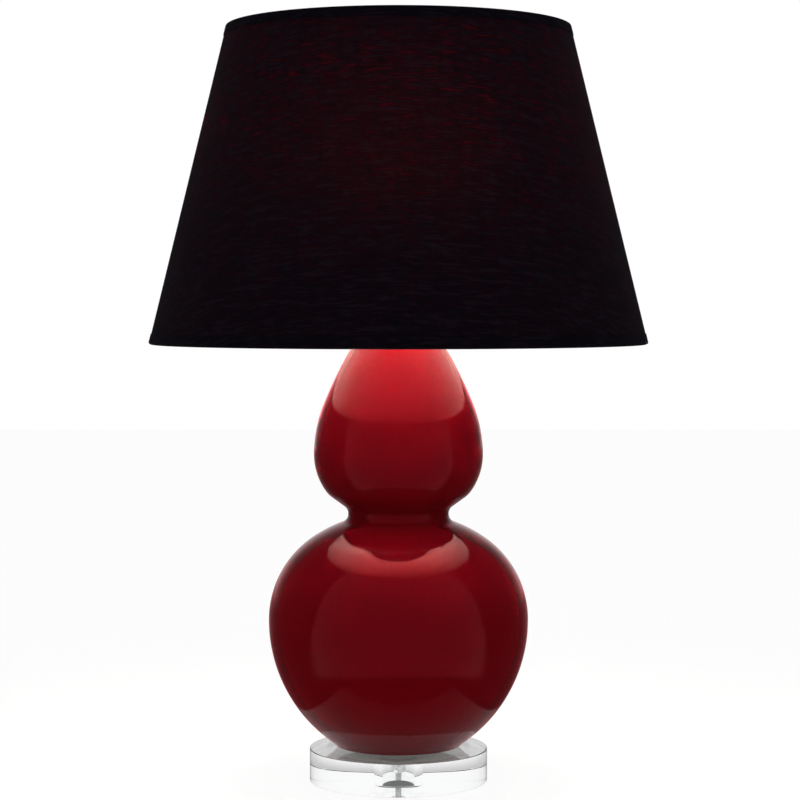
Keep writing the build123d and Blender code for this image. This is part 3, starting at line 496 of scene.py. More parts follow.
cloth = make_cloth("black_fabric", SEE_THROUGH, PAINTED_GLOW_LIGHT)
tape = make_cloth("black_tape")
lining = make_lining()

# %% [markdown]
# ## Making turned pieces
#
# Nearly every part of this lamp comes off a lathe or a wheel, and Blender's spin is the same idea:
# draw half a section, turn it about the upright axis, weld the seam. Sharp ring edges are then
# bevelled, since no real edge is perfectly sharp and the bevel is what catches the light.

# %% Helpers for finished pieces


def sharp_edges(mesh, degrees=30.0):
    """Edges where two faces meet at more than an angle."""
    limit = math.radians(degrees)
    return [e for e in mesh.edges if len(e.link_faces) == 2 and e.calc_face_angle() > limit]


def softened(mesh, width, segments=3):
    """Bevels the sharp edges by a width in millimetres."""
    edges = sharp_edges(mesh)
    bmesh.ops.bevel(mesh, geom=edges, offset=width * MM, affect="EDGES", segments=segments,
                    profile=0.5, material=-1, clamp_overlap=True)
    return mesh


def finished(name, mesh, body, material, slot, *stands_for):
    """Makes a bmesh a named piece that rides on a body and stands for CAD nodes."""
    for edge in sharp_edges(mesh, 40.0):
        edge.smooth = False
    for face in mesh.faces:
        face.smooth = True
    data = bpy.data.meshes.new(name)
    mesh.to_mesh(data)
    mesh.free()
    piece = bpy.data.objects.new(name, data)
    bpy.context.scene.collection.objects.link(piece)
    for each in material if isinstance(material, (list, tuple)) else [material]:
        data.materials.append(each)
    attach(piece, body)
    if stands_for:
        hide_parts(*stands_for)
    print("made", name, "with", len(data.polygons), "faces")
    return piece


def turned(section, steps=96, ring=False, soften=0.0):
    """Turns a half section of (radius, height) points in millimetres about the upright axis."""
    mesh = bmesh.new()
    points = [mesh.verts.new((r * MM, 0, z * MM)) for r, z in section]
    for a, b in zip(points, points[1:] + (points[:1] if ring else [])):
        mesh.edges.new((a, b))
    bmesh.ops.spin(mesh, geom=mesh.verts[:] + mesh.edges[:], cent=(0, 0, 0), axis=(0, 0, 1),
                   angle=math.tau, steps=steps, use_merge=True)
    bmesh.ops.remove_doubles(mesh, verts=mesh.verts, dist=1e-6)
    bmesh.ops.recalc_face_normals(mesh, faces=mesh.faces)
    return softened(mesh, soften) if soften else mesh


def evened(piece):
    """Lets the broad faces set the shading, so that a bevel beside them doesn't bend what they show."""
    even = piece.modifiers.new("even", "WEIGHTED_NORMAL")
    even.mode, even.weight, even.keep_sharp = "FACE_AREA", 100, True
    return piece


# %% [markdown]
# ## The gourd
#
# The ceramic is turned from a chain of arcs that meet tangent: a belly, a flatter shoulder, a tight
# cove at the waist, the crown and a long slope to the neck. Each arc's centre follows from the arc
# before it. A glossy surface shows every facet, so the section is finely divided and turned in 160
# steps. A Solidify modifier then gives the wall, with bare clay inside, and a Boolean drills the
# cord's outlet through it.

# %% Arcs of the gourd's outline


def polar(centre, radius, degrees):
    turn = math.radians(degrees)
    return (centre[0] + radius * math.cos(turn), centre[1] + radius * math.sin(turn))


def bearing(start, end):
    return math.degrees(math.atan2(end[1] - start[1], end[0] - start[0]))


def beside(centre, reach, radius):
    """The higher point at a reach from a centre and a radius from the axis."""
    return (radius, centre[1] + math.sqrt(reach**2 - (radius - centre[0]) ** 2))


BELLY_R, BELLY_Z = radius_of("gourd_body"), 121.75
CROWN_R, WAIST_R, NECK_R = 82.05, 48.78, 27.0
BELLY_BELOW, BELLY_ABOVE, SHOULDER, WAIST_COVE = 145.3, 96.5, 138.0, 9.0
CROWN_UNDER, CROWN_BELOW, CROWN_ABOVE, SLOPE, NECK_COVE = 25.0, 61.0, 131.4, 400.0, 14.0
BELLY_TURN, UNDER_TURN, CROWN_TURN, SLOPE_TURN = 56.0, 54.0, 36.0, 22.1
WALL, LIP_BEVEL, FOOT_BEVEL, FLOOR_HOLE_R = 7.0, 1.5, 3.0, 6.0
BODY_HEIGHT = LIP_Z - FOOT_Z


def gourd_outline(step=2.5):
    """Points of the outline from the floor hole to the lip, above the foot, about a step apart."""
    belly_low = (BELLY_R - BELLY_BELOW, BELLY_Z)
    belly_high = (BELLY_R - BELLY_ABOVE, BELLY_Z)
    shoulder = polar(belly_high, BELLY_ABOVE - SHOULDER, BELLY_TURN)
    waist = beside(shoulder, SHOULDER + WAIST_COVE, WAIST_R + WAIST_COVE)
    run_foot = polar(waist, WAIST_COVE, 180.0 - UNDER_TURN)
    rise = CROWN_BELOW - CROWN_UNDER
    crown_side = polar((CROWN_R - CROWN_BELOW, 0), rise, -CROWN_TURN)
    head_x = polar(crown_side, CROWN_UNDER, -UNDER_TURN)[0]
    climb = (head_x - run_foot[0]) / math.tan(math.radians(UNDER_TURN))
    crown_under = polar((head_x, run_foot[1] + climb), -CROWN_UNDER, -UNDER_TURN)
    crown_low = polar(crown_under, -rise, -CROWN_TURN)
    crown_high = (CROWN_R - CROWN_ABOVE, crown_low[1])
    slope = polar(crown_high, CROWN_ABOVE - SLOPE, SLOPE_TURN)
    neck = beside(slope, SLOPE + NECK_COVE, NECK_R + NECK_COVE)
    foot_turn = -math.degrees(math.asin((BELLY_Z - FOOT_BEVEL) / BELLY_BELOW))
    shoulder_end, slope_end = bearing(shoulder, waist), bearing(slope, neck)
    foot = polar(belly_low, BELLY_BELOW, foot_turn)
    outline = [(FLOOR_HOLE_R, 0), (foot[0] - FOOT_BEVEL, 0)]
    for centre, radius, start, end in (
        (belly_low, BELLY_BELOW, foot_turn, 0),
        (belly_high, BELLY_ABOVE, 0, BELLY_TURN),
        (shoulder, SHOULDER, BELLY_TURN, shoulder_end),
        (waist, WAIST_COVE, shoulder_end + 180, 180.0 - UNDER_TURN),
        (crown_under, CROWN_UNDER, -UNDER_TURN, -CROWN_TURN),
        (crown_low, CROWN_BELOW, -CROWN_TURN, 0),
        (crown_high, CROWN_ABOVE, 0, SLOPE_TURN),
        (slope, SLOPE, SLOPE_TURN, slope_end),
        (neck, NECK_COVE, slope_end + 180, 180.0),
    ):
        count = max(3, math.ceil(radius * math.radians(abs(end - start)) / step))
        arc = [polar(centre, radius, start + (end - start) * k / count) for k in range(count + 1)]
        outline += [p for p in arc if math.dist(p, outline[-1]) > 0.01]
    outline += [(NECK_R, BODY_HEIGHT - LIP_BEVEL), (NECK_R - LIP_BEVEL, BODY_HEIGHT)]
    outline += [(NECK_R - WALL, BODY_HEIGHT)]
    return [(r, FOOT_Z + z) for r, z in outline]


outline = gourd_outline()
print("the outline has", len(outline), "points and ends at", [round(v, 2) for v in outline[-1]])

# %% Turn the gourd, give it a wall and drill the outlet


def applied(piece):
    """Replaces a piece's mesh by the one that its modifiers make."""
    bpy.context.view_layer.update()
    shown = piece.evaluated_get(bpy.context.evaluated_depsgraph_get())
    made = bpy.data.meshes.new_from_object(shown)
    piece.modifiers.clear()
    piece.data = made
    return piece


OUTLET_UP, OUTLET_R, CUTTER_LENGTH = 46.0, 6.4, 60.0


def drilled(piece, node):
    """Drills a level round hole to the back where a CAD node's barrel goes through."""
    low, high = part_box(node)
    cutter = bmesh.new()
    turn = Matrix.Rotation(math.radians(90), 4, "X")
    centre = Vector((0, (low.y + high.y) / 2, (FOOT_Z + OUTLET_UP) * MM))
    bmesh.ops.create_cone(cutter, cap_ends=True, segments=48, radius1=OUTLET_R * MM, radius2=OUTLET_R * MM,
                          depth=CUTTER_LENGTH * MM, matrix=Matrix.Translation(centre) @ turn)
    data = bpy.data.meshes.new("outlet_cutter")
    cutter.to_mesh(data)
    cutter.free()
    tool = bpy.data.objects.new("outlet_cutter", data)
    bpy.context.scene.collection.objects.link(tool)
    hole = piece.modifiers.new("outlet", "BOOLEAN")
    hole.operation, hole.object, hole.solver = "DIFFERENCE", tool, "EXACT"
    applied(piece)
    bpy.data.objects.remove(tool)
    return piece


gourd = finished("gourd_glazed", turned(outline, 160), "lamp", [red_glaze, bare_clay], "red_glaze",
                 "gourd_body")
wall = gourd.modifiers.new("wall", "SOLIDIFY")
wall.thickness, wall.offset, wall.use_even_offset = WALL * MM, -1.0, True
wall.material_offset = 1
drilled(gourd, "cord_bushing")
for face in gourd.data.polygons:
    if face.center.z < (FOOT_Z + 0.5) * MM and face.normal.z < -0.5:
        face.material_index = 1
print("the gourd has", len(gourd.data.polygons), "faces after drilling")

# %% [markdown]
# ## The acrylic disc and its fastening
#
# A saw-cut and flame-polished disc, with a wide pocket bored from below for the washer and nut. Its
# curved side works as a lens, so 256 steps keep the bent background free of facets. Its broad
# faces have to set the shading: a bevel's tilt would otherwise spread over them and bend the view.

# %% The disc
DISC_R, (DISC_LOW, DISC_HIGH) = radius_of("base_disc"), heights("base_disc")
POCKET_R, LEDGE_Z, STUD_HOLE_R = 15.875, heights("base_washer")[1], 3.575
disc_section = [
    (POCKET_R, DISC_LOW),
    (DISC_R, DISC_LOW),
    (DISC_R, DISC_HIGH),
    (STUD_HOLE_R, DISC_HIGH),
    (STUD_HOLE_R, LEDGE_Z),
    (POCKET_R, LEDGE_Z),
]
disc = turned(disc_section, 256, True, 0.8)
evened(finished("disc_polished", disc, "lamp", acrylic, "clear_acrylic", "base_disc"))

# %% [markdown]
# ## Screw threads
#
# A thread is one wave of its profile, wound up the axis: the spin moves up by one pitch for each
# full turn, so every turn's top edge is the next one's bottom edge. The winding starts below and
# ends above the piece, and a flat cut at each end trims it, as a die and a parting tool would.

# %% Wound threads


def wound(radius, depth, pitch, low, high, wave, capped=True, steps=28):
    """A threaded bar or sleeve. wave lists (height share, depth share) points over one pitch."""
    mesh = bmesh.new()
    start = low - 1.5 * pitch
    wave = [(radius - depth * d, 0, start + pitch * t) for t, d in wave]
    points = [mesh.verts.new((x * MM, y * MM, z * MM)) for x, y, z in wave]
    for a, b in zip(points, points[1:]):
        mesh.edges.new((a, b))
    turns = math.ceil((high - low) / pitch) + 3
    bmesh.ops.spin(mesh, geom=mesh.verts[:] + mesh.edges[:], cent=(0, 0, 0), axis=(0, 0, 1),
                   dvec=(0, 0, pitch * MM / steps), angle=math.tau * turns, steps=steps * turns)
    bmesh.ops.remove_doubles(mesh, verts=mesh.verts, dist=1e-6)
    for height, side in ((low, -1), (high, 1)):
        everything = mesh.verts[:] + mesh.edges[:] + mesh.faces[:]
        bmesh.ops.bisect_plane(mesh, geom=everything, dist=1e-7, plane_co=(0, 0, height * MM),
                               plane_no=(0, 0, side), clear_outer=True)
        if capped:
            open_edges = [e for e in mesh.edges if e.is_boundary]
            rim = [e for e in open_edges if abs(e.verts[0].co.z - height * MM) < 1e-6]
            bmesh.ops.holes_fill(mesh, edges=rim)
    bmesh.ops.recalc_face_normals(mesh, faces=mesh.faces)
    return mesh


V_WAVE = [(0, 1), (0.42, 0), (0.58, 0), (1, 1)]
STUD_R, STUD_DEPTH, STUD_PITCH = 3.175, 0.6, 1.27
stud = wound(STUD_R, STUD_DEPTH, STUD_PITCH, *heights("base_stud"), V_WAVE)
finished("stud_threaded", stud, "lamp", zinc, "zinc_steel", "base_stud")

# %% [markdown]
# ## The hexagon nut
#
# A nut is a hexagon with its corners turned off to a cone at both faces. The cut is small, so
# bevelling the twelve corners as vertices stands for it.

# %% The nut
NUT_BORE_R, NUT_CUT = 3.2, 0.9


def make_nut():
    low, high = heights("base_nut")
    across = (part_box("base_nut")[1].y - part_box("base_nut")[0].y) / 2
    across = max(across, (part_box("base_nut")[1].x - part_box("base_nut")[0].x) / 2)
    mesh = bmesh.new()
    bmesh.ops.create_circle(mesh, cap_ends=False, radius=across, segments=6)
    outer = mesh.edges[:]
    bmesh.ops.create_circle(mesh, cap_ends=False, radius=NUT_BORE_R * MM, segments=24)
    inner = [e for e in mesh.edges if e not in outer]
    bmesh.ops.triangle_fill(mesh, edges=outer + inner, use_beauty=True)
    grown = bmesh.ops.extrude_face_region(mesh, geom=mesh.faces[:])
    raised = [v for v in grown["geom"] if isinstance(v, bmesh.types.BMVert)]
    bmesh.ops.translate(mesh, verts=raised, vec=(0, 0, (high - low) * MM))
    bmesh.ops.translate(mesh, verts=mesh.verts, vec=(0, 0, low * MM))
    bmesh.ops.dissolve_limit(mesh, angle_limit=0.01, verts=mesh.verts, edges=mesh.edges)
    bmesh.ops.recalc_face_normals(mesh, faces=mesh.faces)
    corners = [v for v in mesh.verts if v.co.xy.length > 0.9 * across]
    bmesh.ops.bevel(mesh, geom=corners, offset=NUT_CUT * MM, affect="VERTICES", segments=2,
                    profile=0.5, material=-1)
    return mesh


finished("nut_chamfered", make_nut(), "lamp", zinc, "zinc_steel", "base_nut")

# %% [markdown]
# ## Polished turnings
#
# The spacer under the body, the cap and column on the neck, and the finial are all lathe work. The
# CAD sections are cut with straight lines; here the same sections get rounded edges.

# %% Spacer, cap, column and finial


def turning(name, mesh, body, node):
    """A piece of polished nickel whose broad faces set the shading."""
    return evened(finished(name, mesh, body, nickel, "polished_nickel", node))


low, high = heights("base_spacer")
SPACER_R = radius_of("base_spacer")
spacer_section = [(STUD_HOLE_R, low), (SPACER_R, low), (SPACER_R, high), (STUD_HOLE_R, high)]
turning("spacer_turned", turned(spacer_section, 96, True, 0.9), "lamp", "base_spacer")

PIPE_SEAT_R = 5.15
low, high = heights("neck_cap")
CAP_R, CAP_METAL, CAP_FLAT_R = radius_of("neck_cap"), 1.2, 14.0
cap_section = [
    (PIPE_SEAT_R, high - CAP_METAL),
    (CAP_FLAT_R, high - CAP_METAL),
    (NECK_R - LIP_BEVEL, LIP_Z),
    (CAP_R - CAP_METAL, LIP_Z),
    (CAP_R - CAP_METAL, low),
    (CAP_R, low),
    (CAP_R, LIP_Z + CAP_METAL),
    (CAP_FLAT_R + CAP_METAL, high),
    (PIPE_SEAT_R, high),
]
turning("cap_spun", turned(cap_section, 96, True, 0.4), "lamp", "neck_cap")

low, high = heights("neck_column")
FLANGE_R, SPOOL_R, FLANGE_T = radius_of("neck_column"), 7.5, 2.2
taper = FLANGE_R - SPOOL_R
column_section = [
    (PIPE_SEAT_R, low),
    (FLANGE_R, low),
    (FLANGE_R, low + FLANGE_T),
    (SPOOL_R, low + FLANGE_T + taper),
    (SPOOL_R, high - FLANGE_T - taper),
    (FLANGE_R, high - FLANGE_T),
    (FLANGE_R, high),
    (PIPE_SEAT_R, high),
]
turning("column_turned", turned(column_section, 72, True, 0.5), "lamp", "neck_column")

low, high = heights("finial")
KNOB_R, STEM_R, FINIAL_FOOT_R, FINIAL_BORE_R = radius_of("finial"), 5.25, 8.5, 3.25
FLARE_Z, BORE_TOP_Z = low + 14.0, heights("harp_seat")[1] + 0.15
FOOT_TOP_Z, KNOB_BEVEL = low + 3.0, 2.0
finial_section = [
    (0, BORE_TOP_Z),
    (FINIAL_BORE_R, BORE_TOP_Z),
    (FINIAL_BORE_R, low),
    (FINIAL_FOOT_R, low),
    (FINIAL_FOOT_R, FOOT_TOP_Z),
    (STEM_R, FOOT_TOP_Z),
    (STEM_R, FLARE_Z),
    (KNOB_R, FLARE_Z + KNOB_R - STEM_R),
    (KNOB_R, high - KNOB_BEVEL),
    (KNOB_R - KNOB_BEVEL, high),
    (0, high),
]
turning("finial_turned", turned(finial_section, 96, False, 0.7), "finial", "finial")

# %% [markdown]
# ## Bent wire
#
# The harp, the shade's rings and the spider's arms are wire bent on a former: straight runs and
# tangent bends. A ring of edges is pushed along each straight with extrude and carried round each
# bend with spin, so the wire stays round and the bends are true arcs.

# %% A wire bender


def bent_wire(points, bends, thickness, sides=16, bend_steps=10, straight_steps=1):
    """A round bar through points in metres, with one bend radius in metres for each corner."""
    mesh = bmesh.new()
    points = [Vector(p) for p in points]
    heading = (points[1] - points[0]).normalized()
    start = Matrix.Translation(points[0]) @ heading.to_track_quat("Z", "Y").to_matrix().to_4x4()
    bmesh.ops.create_circle(mesh, cap_ends=False, radius=thickness / 2, segments=sides, matrix=start)
    ring, here = mesh.edges[:], points[0]
    for k in range(1, len(points)):
        run = (points[k] - points[k - 1]).normalized()
        reach = points[k]
        if k < len(points) - 1:
            after = (points[k + 1] - points[k]).normalized()
            turn = run.angle(after)
            reach = points[k] - run * bends[k - 1] * math.tan(turn / 2)
        for part in range(straight_steps):
            grown = bmesh.ops.extrude_edge_only(mesh, edges=ring)["geom"]
            moved = [v for v in grown if isinstance(v, bmesh.types.BMVert)]
            bmesh.ops.translate(mesh, verts=moved, vec=(reach - here) / straight_steps)
            ring = [e for e in grown if isinstance(e, bmesh.types.BMEdge)]
        here = reach
        if k < len(points) - 1:
            axis = run.cross(after).normalized()
            centre = reach + axis.cross(run) * bends[k - 1]
            corners = list({v for e in ring for v in e.verts})
            carried = bmesh.ops.spin(mesh, geom=corners + ring, cent=centre, axis=axis, angle=turn,
                                     steps=bend_steps)
            ring = [e for e in carried["geom_last"] if isinstance(e, bmesh.types.BMEdge)]
            here = centre + Matrix.Rotation(turn, 3, axis) @ (reach - centre)
    bmesh.ops.holes_fill(mesh, edges=[e for e in mesh.edges if e.is_boundary])
    bmesh.ops.recalc_face_normals(mesh, faces=mesh.faces)
    return mesh


# %% The harp and its flattened eye
PLATE_Z = heights("holder_cap")[0]
EYE_TOP = heights("harp")[1]
HARP_WIRE, EYE_T, EYE_R = 3.6, 2.4, 4.5
HARP_PATH = [(25.0, 20.15), (25.0, 54.0), (57.0, 96.0), (57.0, 168.0)]  # across, above the plate
HARP_TOP_X, HARP_BENDS = 30.0, (14.0, 30.0, 30.0, 20.0)
PRESSED_FULL, PRESSED_END = 0.6, 1.6  # shares of the eye's radius from its middle


def make_harp():
    side = HARP_PATH + [(HARP_TOP_X, EYE_TOP - EYE_T / 2 - PLATE_Z)]
    right = [(x * MM, 0, (PLATE_Z + z) * MM) for x, z in side]
    left = [(-x, y, z) for x, y, z in reversed(right)]
    bends = [bend * MM for bend in HARP_BENDS]
    mesh = bent_wire(right + left, bends + bends[::-1], HARP_WIRE * MM, straight_steps=24)
    middle = (EYE_TOP - EYE_T / 2) * MM
    for vert in mesh.verts:
        across = abs(vert.co.x) / (EYE_R * MM)
        if vert.co.z > middle - HARP_WIRE * MM and across < PRESSED_END:
            pressed = min(1.0, PRESSED_END - across) if across > PRESSED_FULL else 1.0
            vert.co.z = middle + (vert.co.z - middle) * (1 - pressed * (1 - EYE_T / HARP_WIRE))
            width = math.sqrt(max(0.0, 1 - across**2)) * EYE_R / (HARP_WIRE / 2)
            vert.co.y *= max(1.0, width)
    return mesh


finished("harp_bent", make_harp(), "lamp", nickel, "polished_nickel", "harp")

# %% Sleeves with rolled ends
SLEEVE_METAL, ROLL, ROLL_END, ROLL_STEP = 0.8, 1.2, 1.7, 0.25
for side in ("left", "right"):
    node = "harp_sleeve_" + side
    low, high = heights(node)
    corner_low, corner_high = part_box(node)
    middle = (corner_low.x + corner_high.x) / 2
    outer = radius_of(node)
    bore, barrel = outer - SLEEVE_METAL, outer - ROLL_STEP
    section = [(bore, low), (outer, low), (outer, low + ROLL), (barrel, low + ROLL_END)]
    section += [(barrel, high - ROLL_END), (outer, high - ROLL), (outer, high), (bore, high)]
    sleeve = turned(section, 40, True, 0.12)
    bmesh.ops.translate(sleeve, verts=sleeve.verts, vec=(middle, 0, 0))
    finished("sleeve_" + side, sleeve, "sleeve_" + side, nickel, "polished_nickel", node)

# %% [markdown]
# ## The bulb and its screw threads
#
# The envelope is a globe that runs into a neck through a hollow flare. Its aluminium base and the
# holder's brass shell have the same rolled thread, one rounded wave per pitch, and the base's
# thread lies loosely inside the shell's.

# %% The bulb's envelope
FLARE_TURN, BULB_NECK_R, BULB_SEAT_R, NECK_IN_BASE = 35.0, 13.8, 12.65, 5.0


def make_envelope():
    """The globe, the flare that runs tangent from it to the neck, and the end in the base."""
    globe_r, neck_r = radius_of("bulb_glass"), BULB_NECK_R
    turn = math.radians(FLARE_TURN)
    centre = BULB_HIGH - globe_r
    flare_r = (globe_r * math.cos(turn) - neck_r) / (1 - math.cos(turn))
    flare_z = centre - (globe_r + flare_r) * math.sin(turn)
    step_z = BULB_LOW + NECK_IN_BASE
    section = [(0, BULB_LOW), (BULB_SEAT_R, BULB_LOW), (BULB_SEAT_R, step_z)]
    section += [(neck_r, step_z + neck_r - BULB_SEAT_R)]
    section += [polar((neck_r + flare_r, flare_z), flare_r, 180 - FLARE_TURN * k / 10) for k in range(11)]
    globe_turn = 90 + FLARE_TURN
    section += [polar((0, centre), globe_r, globe_turn * k / 32 - FLARE_TURN) for k in range(1, 33)]
    return turned(section, 64)


finished("bulb_frosted", make_envelope(), "bulb", lit_glass, "frosted_glass", "bulb_glass")

# %% The bulb's base and the holder's screw shell
ROLLED_WAVE = [(k / 8, 0.5 - 0.5 * math.cos(math.tau * k / 8)) for k in range(9)]
WAVE_DEPTH, WAVE_PITCH, BASE_METAL, SKIRT_R = 0.9, 3.63, 0.4, 9.5


def rolled(radius, low, high):
    """A sleeve of thin metal with the bulb's rolled thread."""
    return wound(radius, WAVE_DEPTH, WAVE_PITCH, low, high, ROLLED_WAVE, False, 40)


low, high = heights("bulb_base")
thread_low, thread_high = low + NECK_IN_BASE, high - NECK_IN_BASE
base_r, inner_r = radius_of("bulb_base"), radius_of("bulb_base") - BASE_METAL
thread = rolled(base_r, thread_low, thread_high)
finished("bulb_thread", thread, "bulb", aluminium, "aluminium", "bulb_base")
collar = [(base_r, thread_high), (base_r, high), (inner_r, high), (inner_r, thread_high)]
finished("bulb_collar", turned(collar, 64, True), "bulb", aluminium, "aluminium")
skirt = [(base_r, thread_low), (base_r, low + base_r - SKIRT_R), (SKIRT_R, low)]
skirt += [(SKIRT_R - BASE_METAL, low), (inner_r, thread_low)]
finished("bulb_skirt", turned(skirt, 64, True), "bulb", aluminium, "aluminium")

shell = rolled(radius_of("screw_shell"), *heights("screw_shell"))
finished("screw_shell_rolled", shell, "lamp", brass, "brass", "screw_shell")

# %% [markdown]
# ## The turn knob
#
# A moulded paddle on a round collar. Fingers need a grip, so its two broad faces carry shallow
# ribs, made by insetting and sinking every other strip of the face.

# %% Knob
PADDLE_T, COLLAR_R, COLLAR_LENGTH, KNOB_ROUND = 6.4, 5.0, 4.0, 2.0
RIB_EDGE, RIB_DEPTH = 0.25, 0.35


def make_knob():
    low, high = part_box("switch_knob")
    middle = (low.z + high.z) / 2
    half_width, half_thick = (high.x - low.x) / 2, PADDLE_T / 2 * MM
    back, front = high.y, low.y
    collar = COLLAR_LENGTH * MM
    mesh = bmesh.new()
    bmesh.ops.create_grid(mesh, x_segments=11, y_segments=1, size=1.0)
    bmesh.ops.scale(mesh, verts=mesh.verts, vec=(half_width * 0.999, half_thick, 1))
    grown = bmesh.ops.extrude_face_region(mesh, geom=mesh.faces[:])
    raised = [v for v in grown["geom"] if isinstance(v, bmesh.types.BMVert)]
    bmesh.ops.translate(mesh, verts=raised, vec=(0, 0, back - collar - front))
    bmesh.ops.recalc_face_normals(mesh, faces=mesh.faces)
    ends = {v for v in mesh.verts if abs(v.co.x) > half_width * 0.99}
    rims = [e for e in sharp_edges(mesh) if ends.issuperset(e.verts)]
    bmesh.ops.bevel(mesh, geom=rims, offset=KNOB_ROUND * MM, affect="EDGES", segments=5, profile=0.5,
                    material=-1)
    broad = [f for f in mesh.faces if abs(f.normal.y) > 0.99]
    broad = [f for f in broad if abs(f.calc_center_median().x) < half_width * 0.75]
    strips = sorted(broad, key=lambda f: (f.normal.y, f.calc_center_median().x))[::2]
    bmesh.ops.inset_individual(mesh, faces=strips, thickness=RIB_EDGE * MM, depth=-RIB_DEPTH * MM)
    turn = Matrix.Rotation(math.radians(90), 4, "X")
    paddle_place = Matrix.Translation((0, back - collar, middle)) @ turn
    bmesh.ops.transform(mesh, verts=mesh.verts, matrix=paddle_place)
    collar_place = Matrix.Translation((0, back - collar / 2, middle)) @ turn
    bmesh.ops.create_cone(mesh, cap_ends=True, segments=40, radius1=COLLAR_R * MM, radius2=COLLAR_R * MM,
                          depth=collar, matrix=collar_place)
    return softened(mesh, 0.2, 2)


finished("knob_moulded", make_knob(), "switch", black_plastic, "black_plastic", "switch_knob")

# %% [markdown]
# ## The shade
#
# The shade is a cone: cotton glued to a white plastic sheet, two wire rings, and tape folded over
# both edges. The cloth was cut flat as part of a wide ring, with its threads straight across that
# cut, so the weave's lines run level at the front and sink towards the sides, as they do in the
# photo. The piece's map is that flat cut, in metres: unrolling the cone turns every angle about the
# axis into a smaller angle about the cone's tip.

# %% The cone's slant and its flat cut
TRIM_T, GLUE, CLOTH_T, LINING_T = 0.5, 0.1, 0.6, 0.4


def on_slant(up, depth):
    """The (radius, height) at a length up the slant and a depth in from its outside."""
    rise = math.sqrt(1 - LEAN**2)
    return SHADE_LOW_R - up * LEAN - depth * rise, SHADE_LOW_Z + up * rise - depth * LEAN


def cut_flat(piece, name="cut"):
    """Maps a cone's faces to the flat ring that they were cut from, with the seam at the back."""
    data = piece.data
    layer = data.uv_layers.new(name=name)
    for face in data.polygons:
        middle = math.atan2(face.center.x, -face.center.y)
        for corner in face.loop_indices:
            x, y, z = data.vertices[data.loops[corner].vertex_index].co
            turn = math.atan2(x, -y)
            turn += math.tau * round((middle - turn) / math.tau)
            far = math.hypot(x, y) / LEAN
            layer.data[corner].uv = (far * math.sin(turn * LEAN), -far * math.cos(turn * LEAN))
    return piece


# %% Cloth and lining
UNDER_TAPE, ROWS = TRIM_T + GLUE, 24
LINING_DEPTH = UNDER_TAPE + CLOTH_T + GLUE + LINING_T


def cone_sheet(depth):
    """A sheet that follows the cone at a depth, from inside one edge's tape to the other's."""
    ups = [UNDER_TAPE + (SLANT - 2 * UNDER_TAPE) * k / ROWS for k in range(ROWS + 1)]
    return turned([on_slant(up, depth) for up in ups], 180)


shade_cloth = finished("shade_cloth", cone_sheet(UNDER_TAPE), "shade", cloth, "black_fabric",
                       "shade_fabric")
shade_lining = finished("shade_lining_sheet", cone_sheet(LINING_DEPTH), "shade", lining, "white_lining",
                        "shade_lining")
far_low, far_high = SHADE_LOW_R / LEAN * MM, SHADE_HIGH_R / LEAN * MM
half_cut = math.pi * LEAN
CUT = (2 * far_low * math.sin(half_cut), far_low - far_high * math.cos(half_cut))
CUT_AREA = half_cut * (far_low**2 - far_high**2)
for sheet in (shade_cloth, shade_lining):
    cut_flat(sheet)
print("the cloth was cut from", [round(v, 3) for v in CUT], "m, area", round(CUT_AREA, 3))

# %% [markdown]
# ## Folded tape
#
# Each edge is wrapped in a bias tape of the same cotton: a band outside, a fold round the ring and
# a short return inside. Its fold is rounded over the wire, and the outer edge stands up by its
# thickness, which is the fine line that separates it from the shade.

# %% Tape at both edges
TRIM_BAND, TRIM_RETURN, RING_T = 10.0, 5.0, 3.2
RETURN_DEPTH = LINING_DEPTH + RING_T + GLUE
FOLD_FLATNESS, FOLD_START, INNER_START = 0.55, 1.6, 2.0


def tape_section(at_top):
    """The folded tape's closed outline: out along the band, round the fold, and back inside it."""
    half = (RETURN_DEPTH + TRIM_T) / 2
    turns = [math.pi * k / 8 for k in range(1, 8)]
    fold = [(half * FOLD_FLATNESS * (1 - math.sin(a)), half * (1 - math.cos(a))) for a in turns]
    outer = [(TRIM_BAND, 0), (FOLD_START, 0), *fold, (FOLD_START, 2 * half), (TRIM_RETURN, 2 * half)]
    inner = [(TRIM_RETURN, 2 * half - TRIM_T), (INNER_START, 2 * half - TRIM_T)]
    shrink = 1 - TRIM_T / half
    inner += [(up + TRIM_T, half + (depth - half) * shrink) for up, depth in reversed(fold)]
    inner += [(INNER_START, TRIM_T), (TRIM_BAND, TRIM_T)]
    return [on_slant(SLANT - up if at_top else up, depth) for up, depth in outer + inner]


for node, at_top in (("shade_top_trim", True), ("shade_bottom_trim", False)):
    name = node.replace("trim", "tape")
    piece = finished(name, turned(tape_section(at_top), 180, True), "shade", tape, "black_fabric", node)
    cut_flat(piece)

# %% Rings and spider arms of round wire
for node in ("shade_top_ring", "shade_bottom_ring"):
    low, high = heights(node)
    centre = (radius_of(node) - RING_T / 2, (low + high) / 2)
    section = [polar(centre, RING_T / 2, 30 * k) for k in range(12)]
    finished(node + "_wire", turned(section, 144, True), "shade", white_wire, "shade_wire", node)

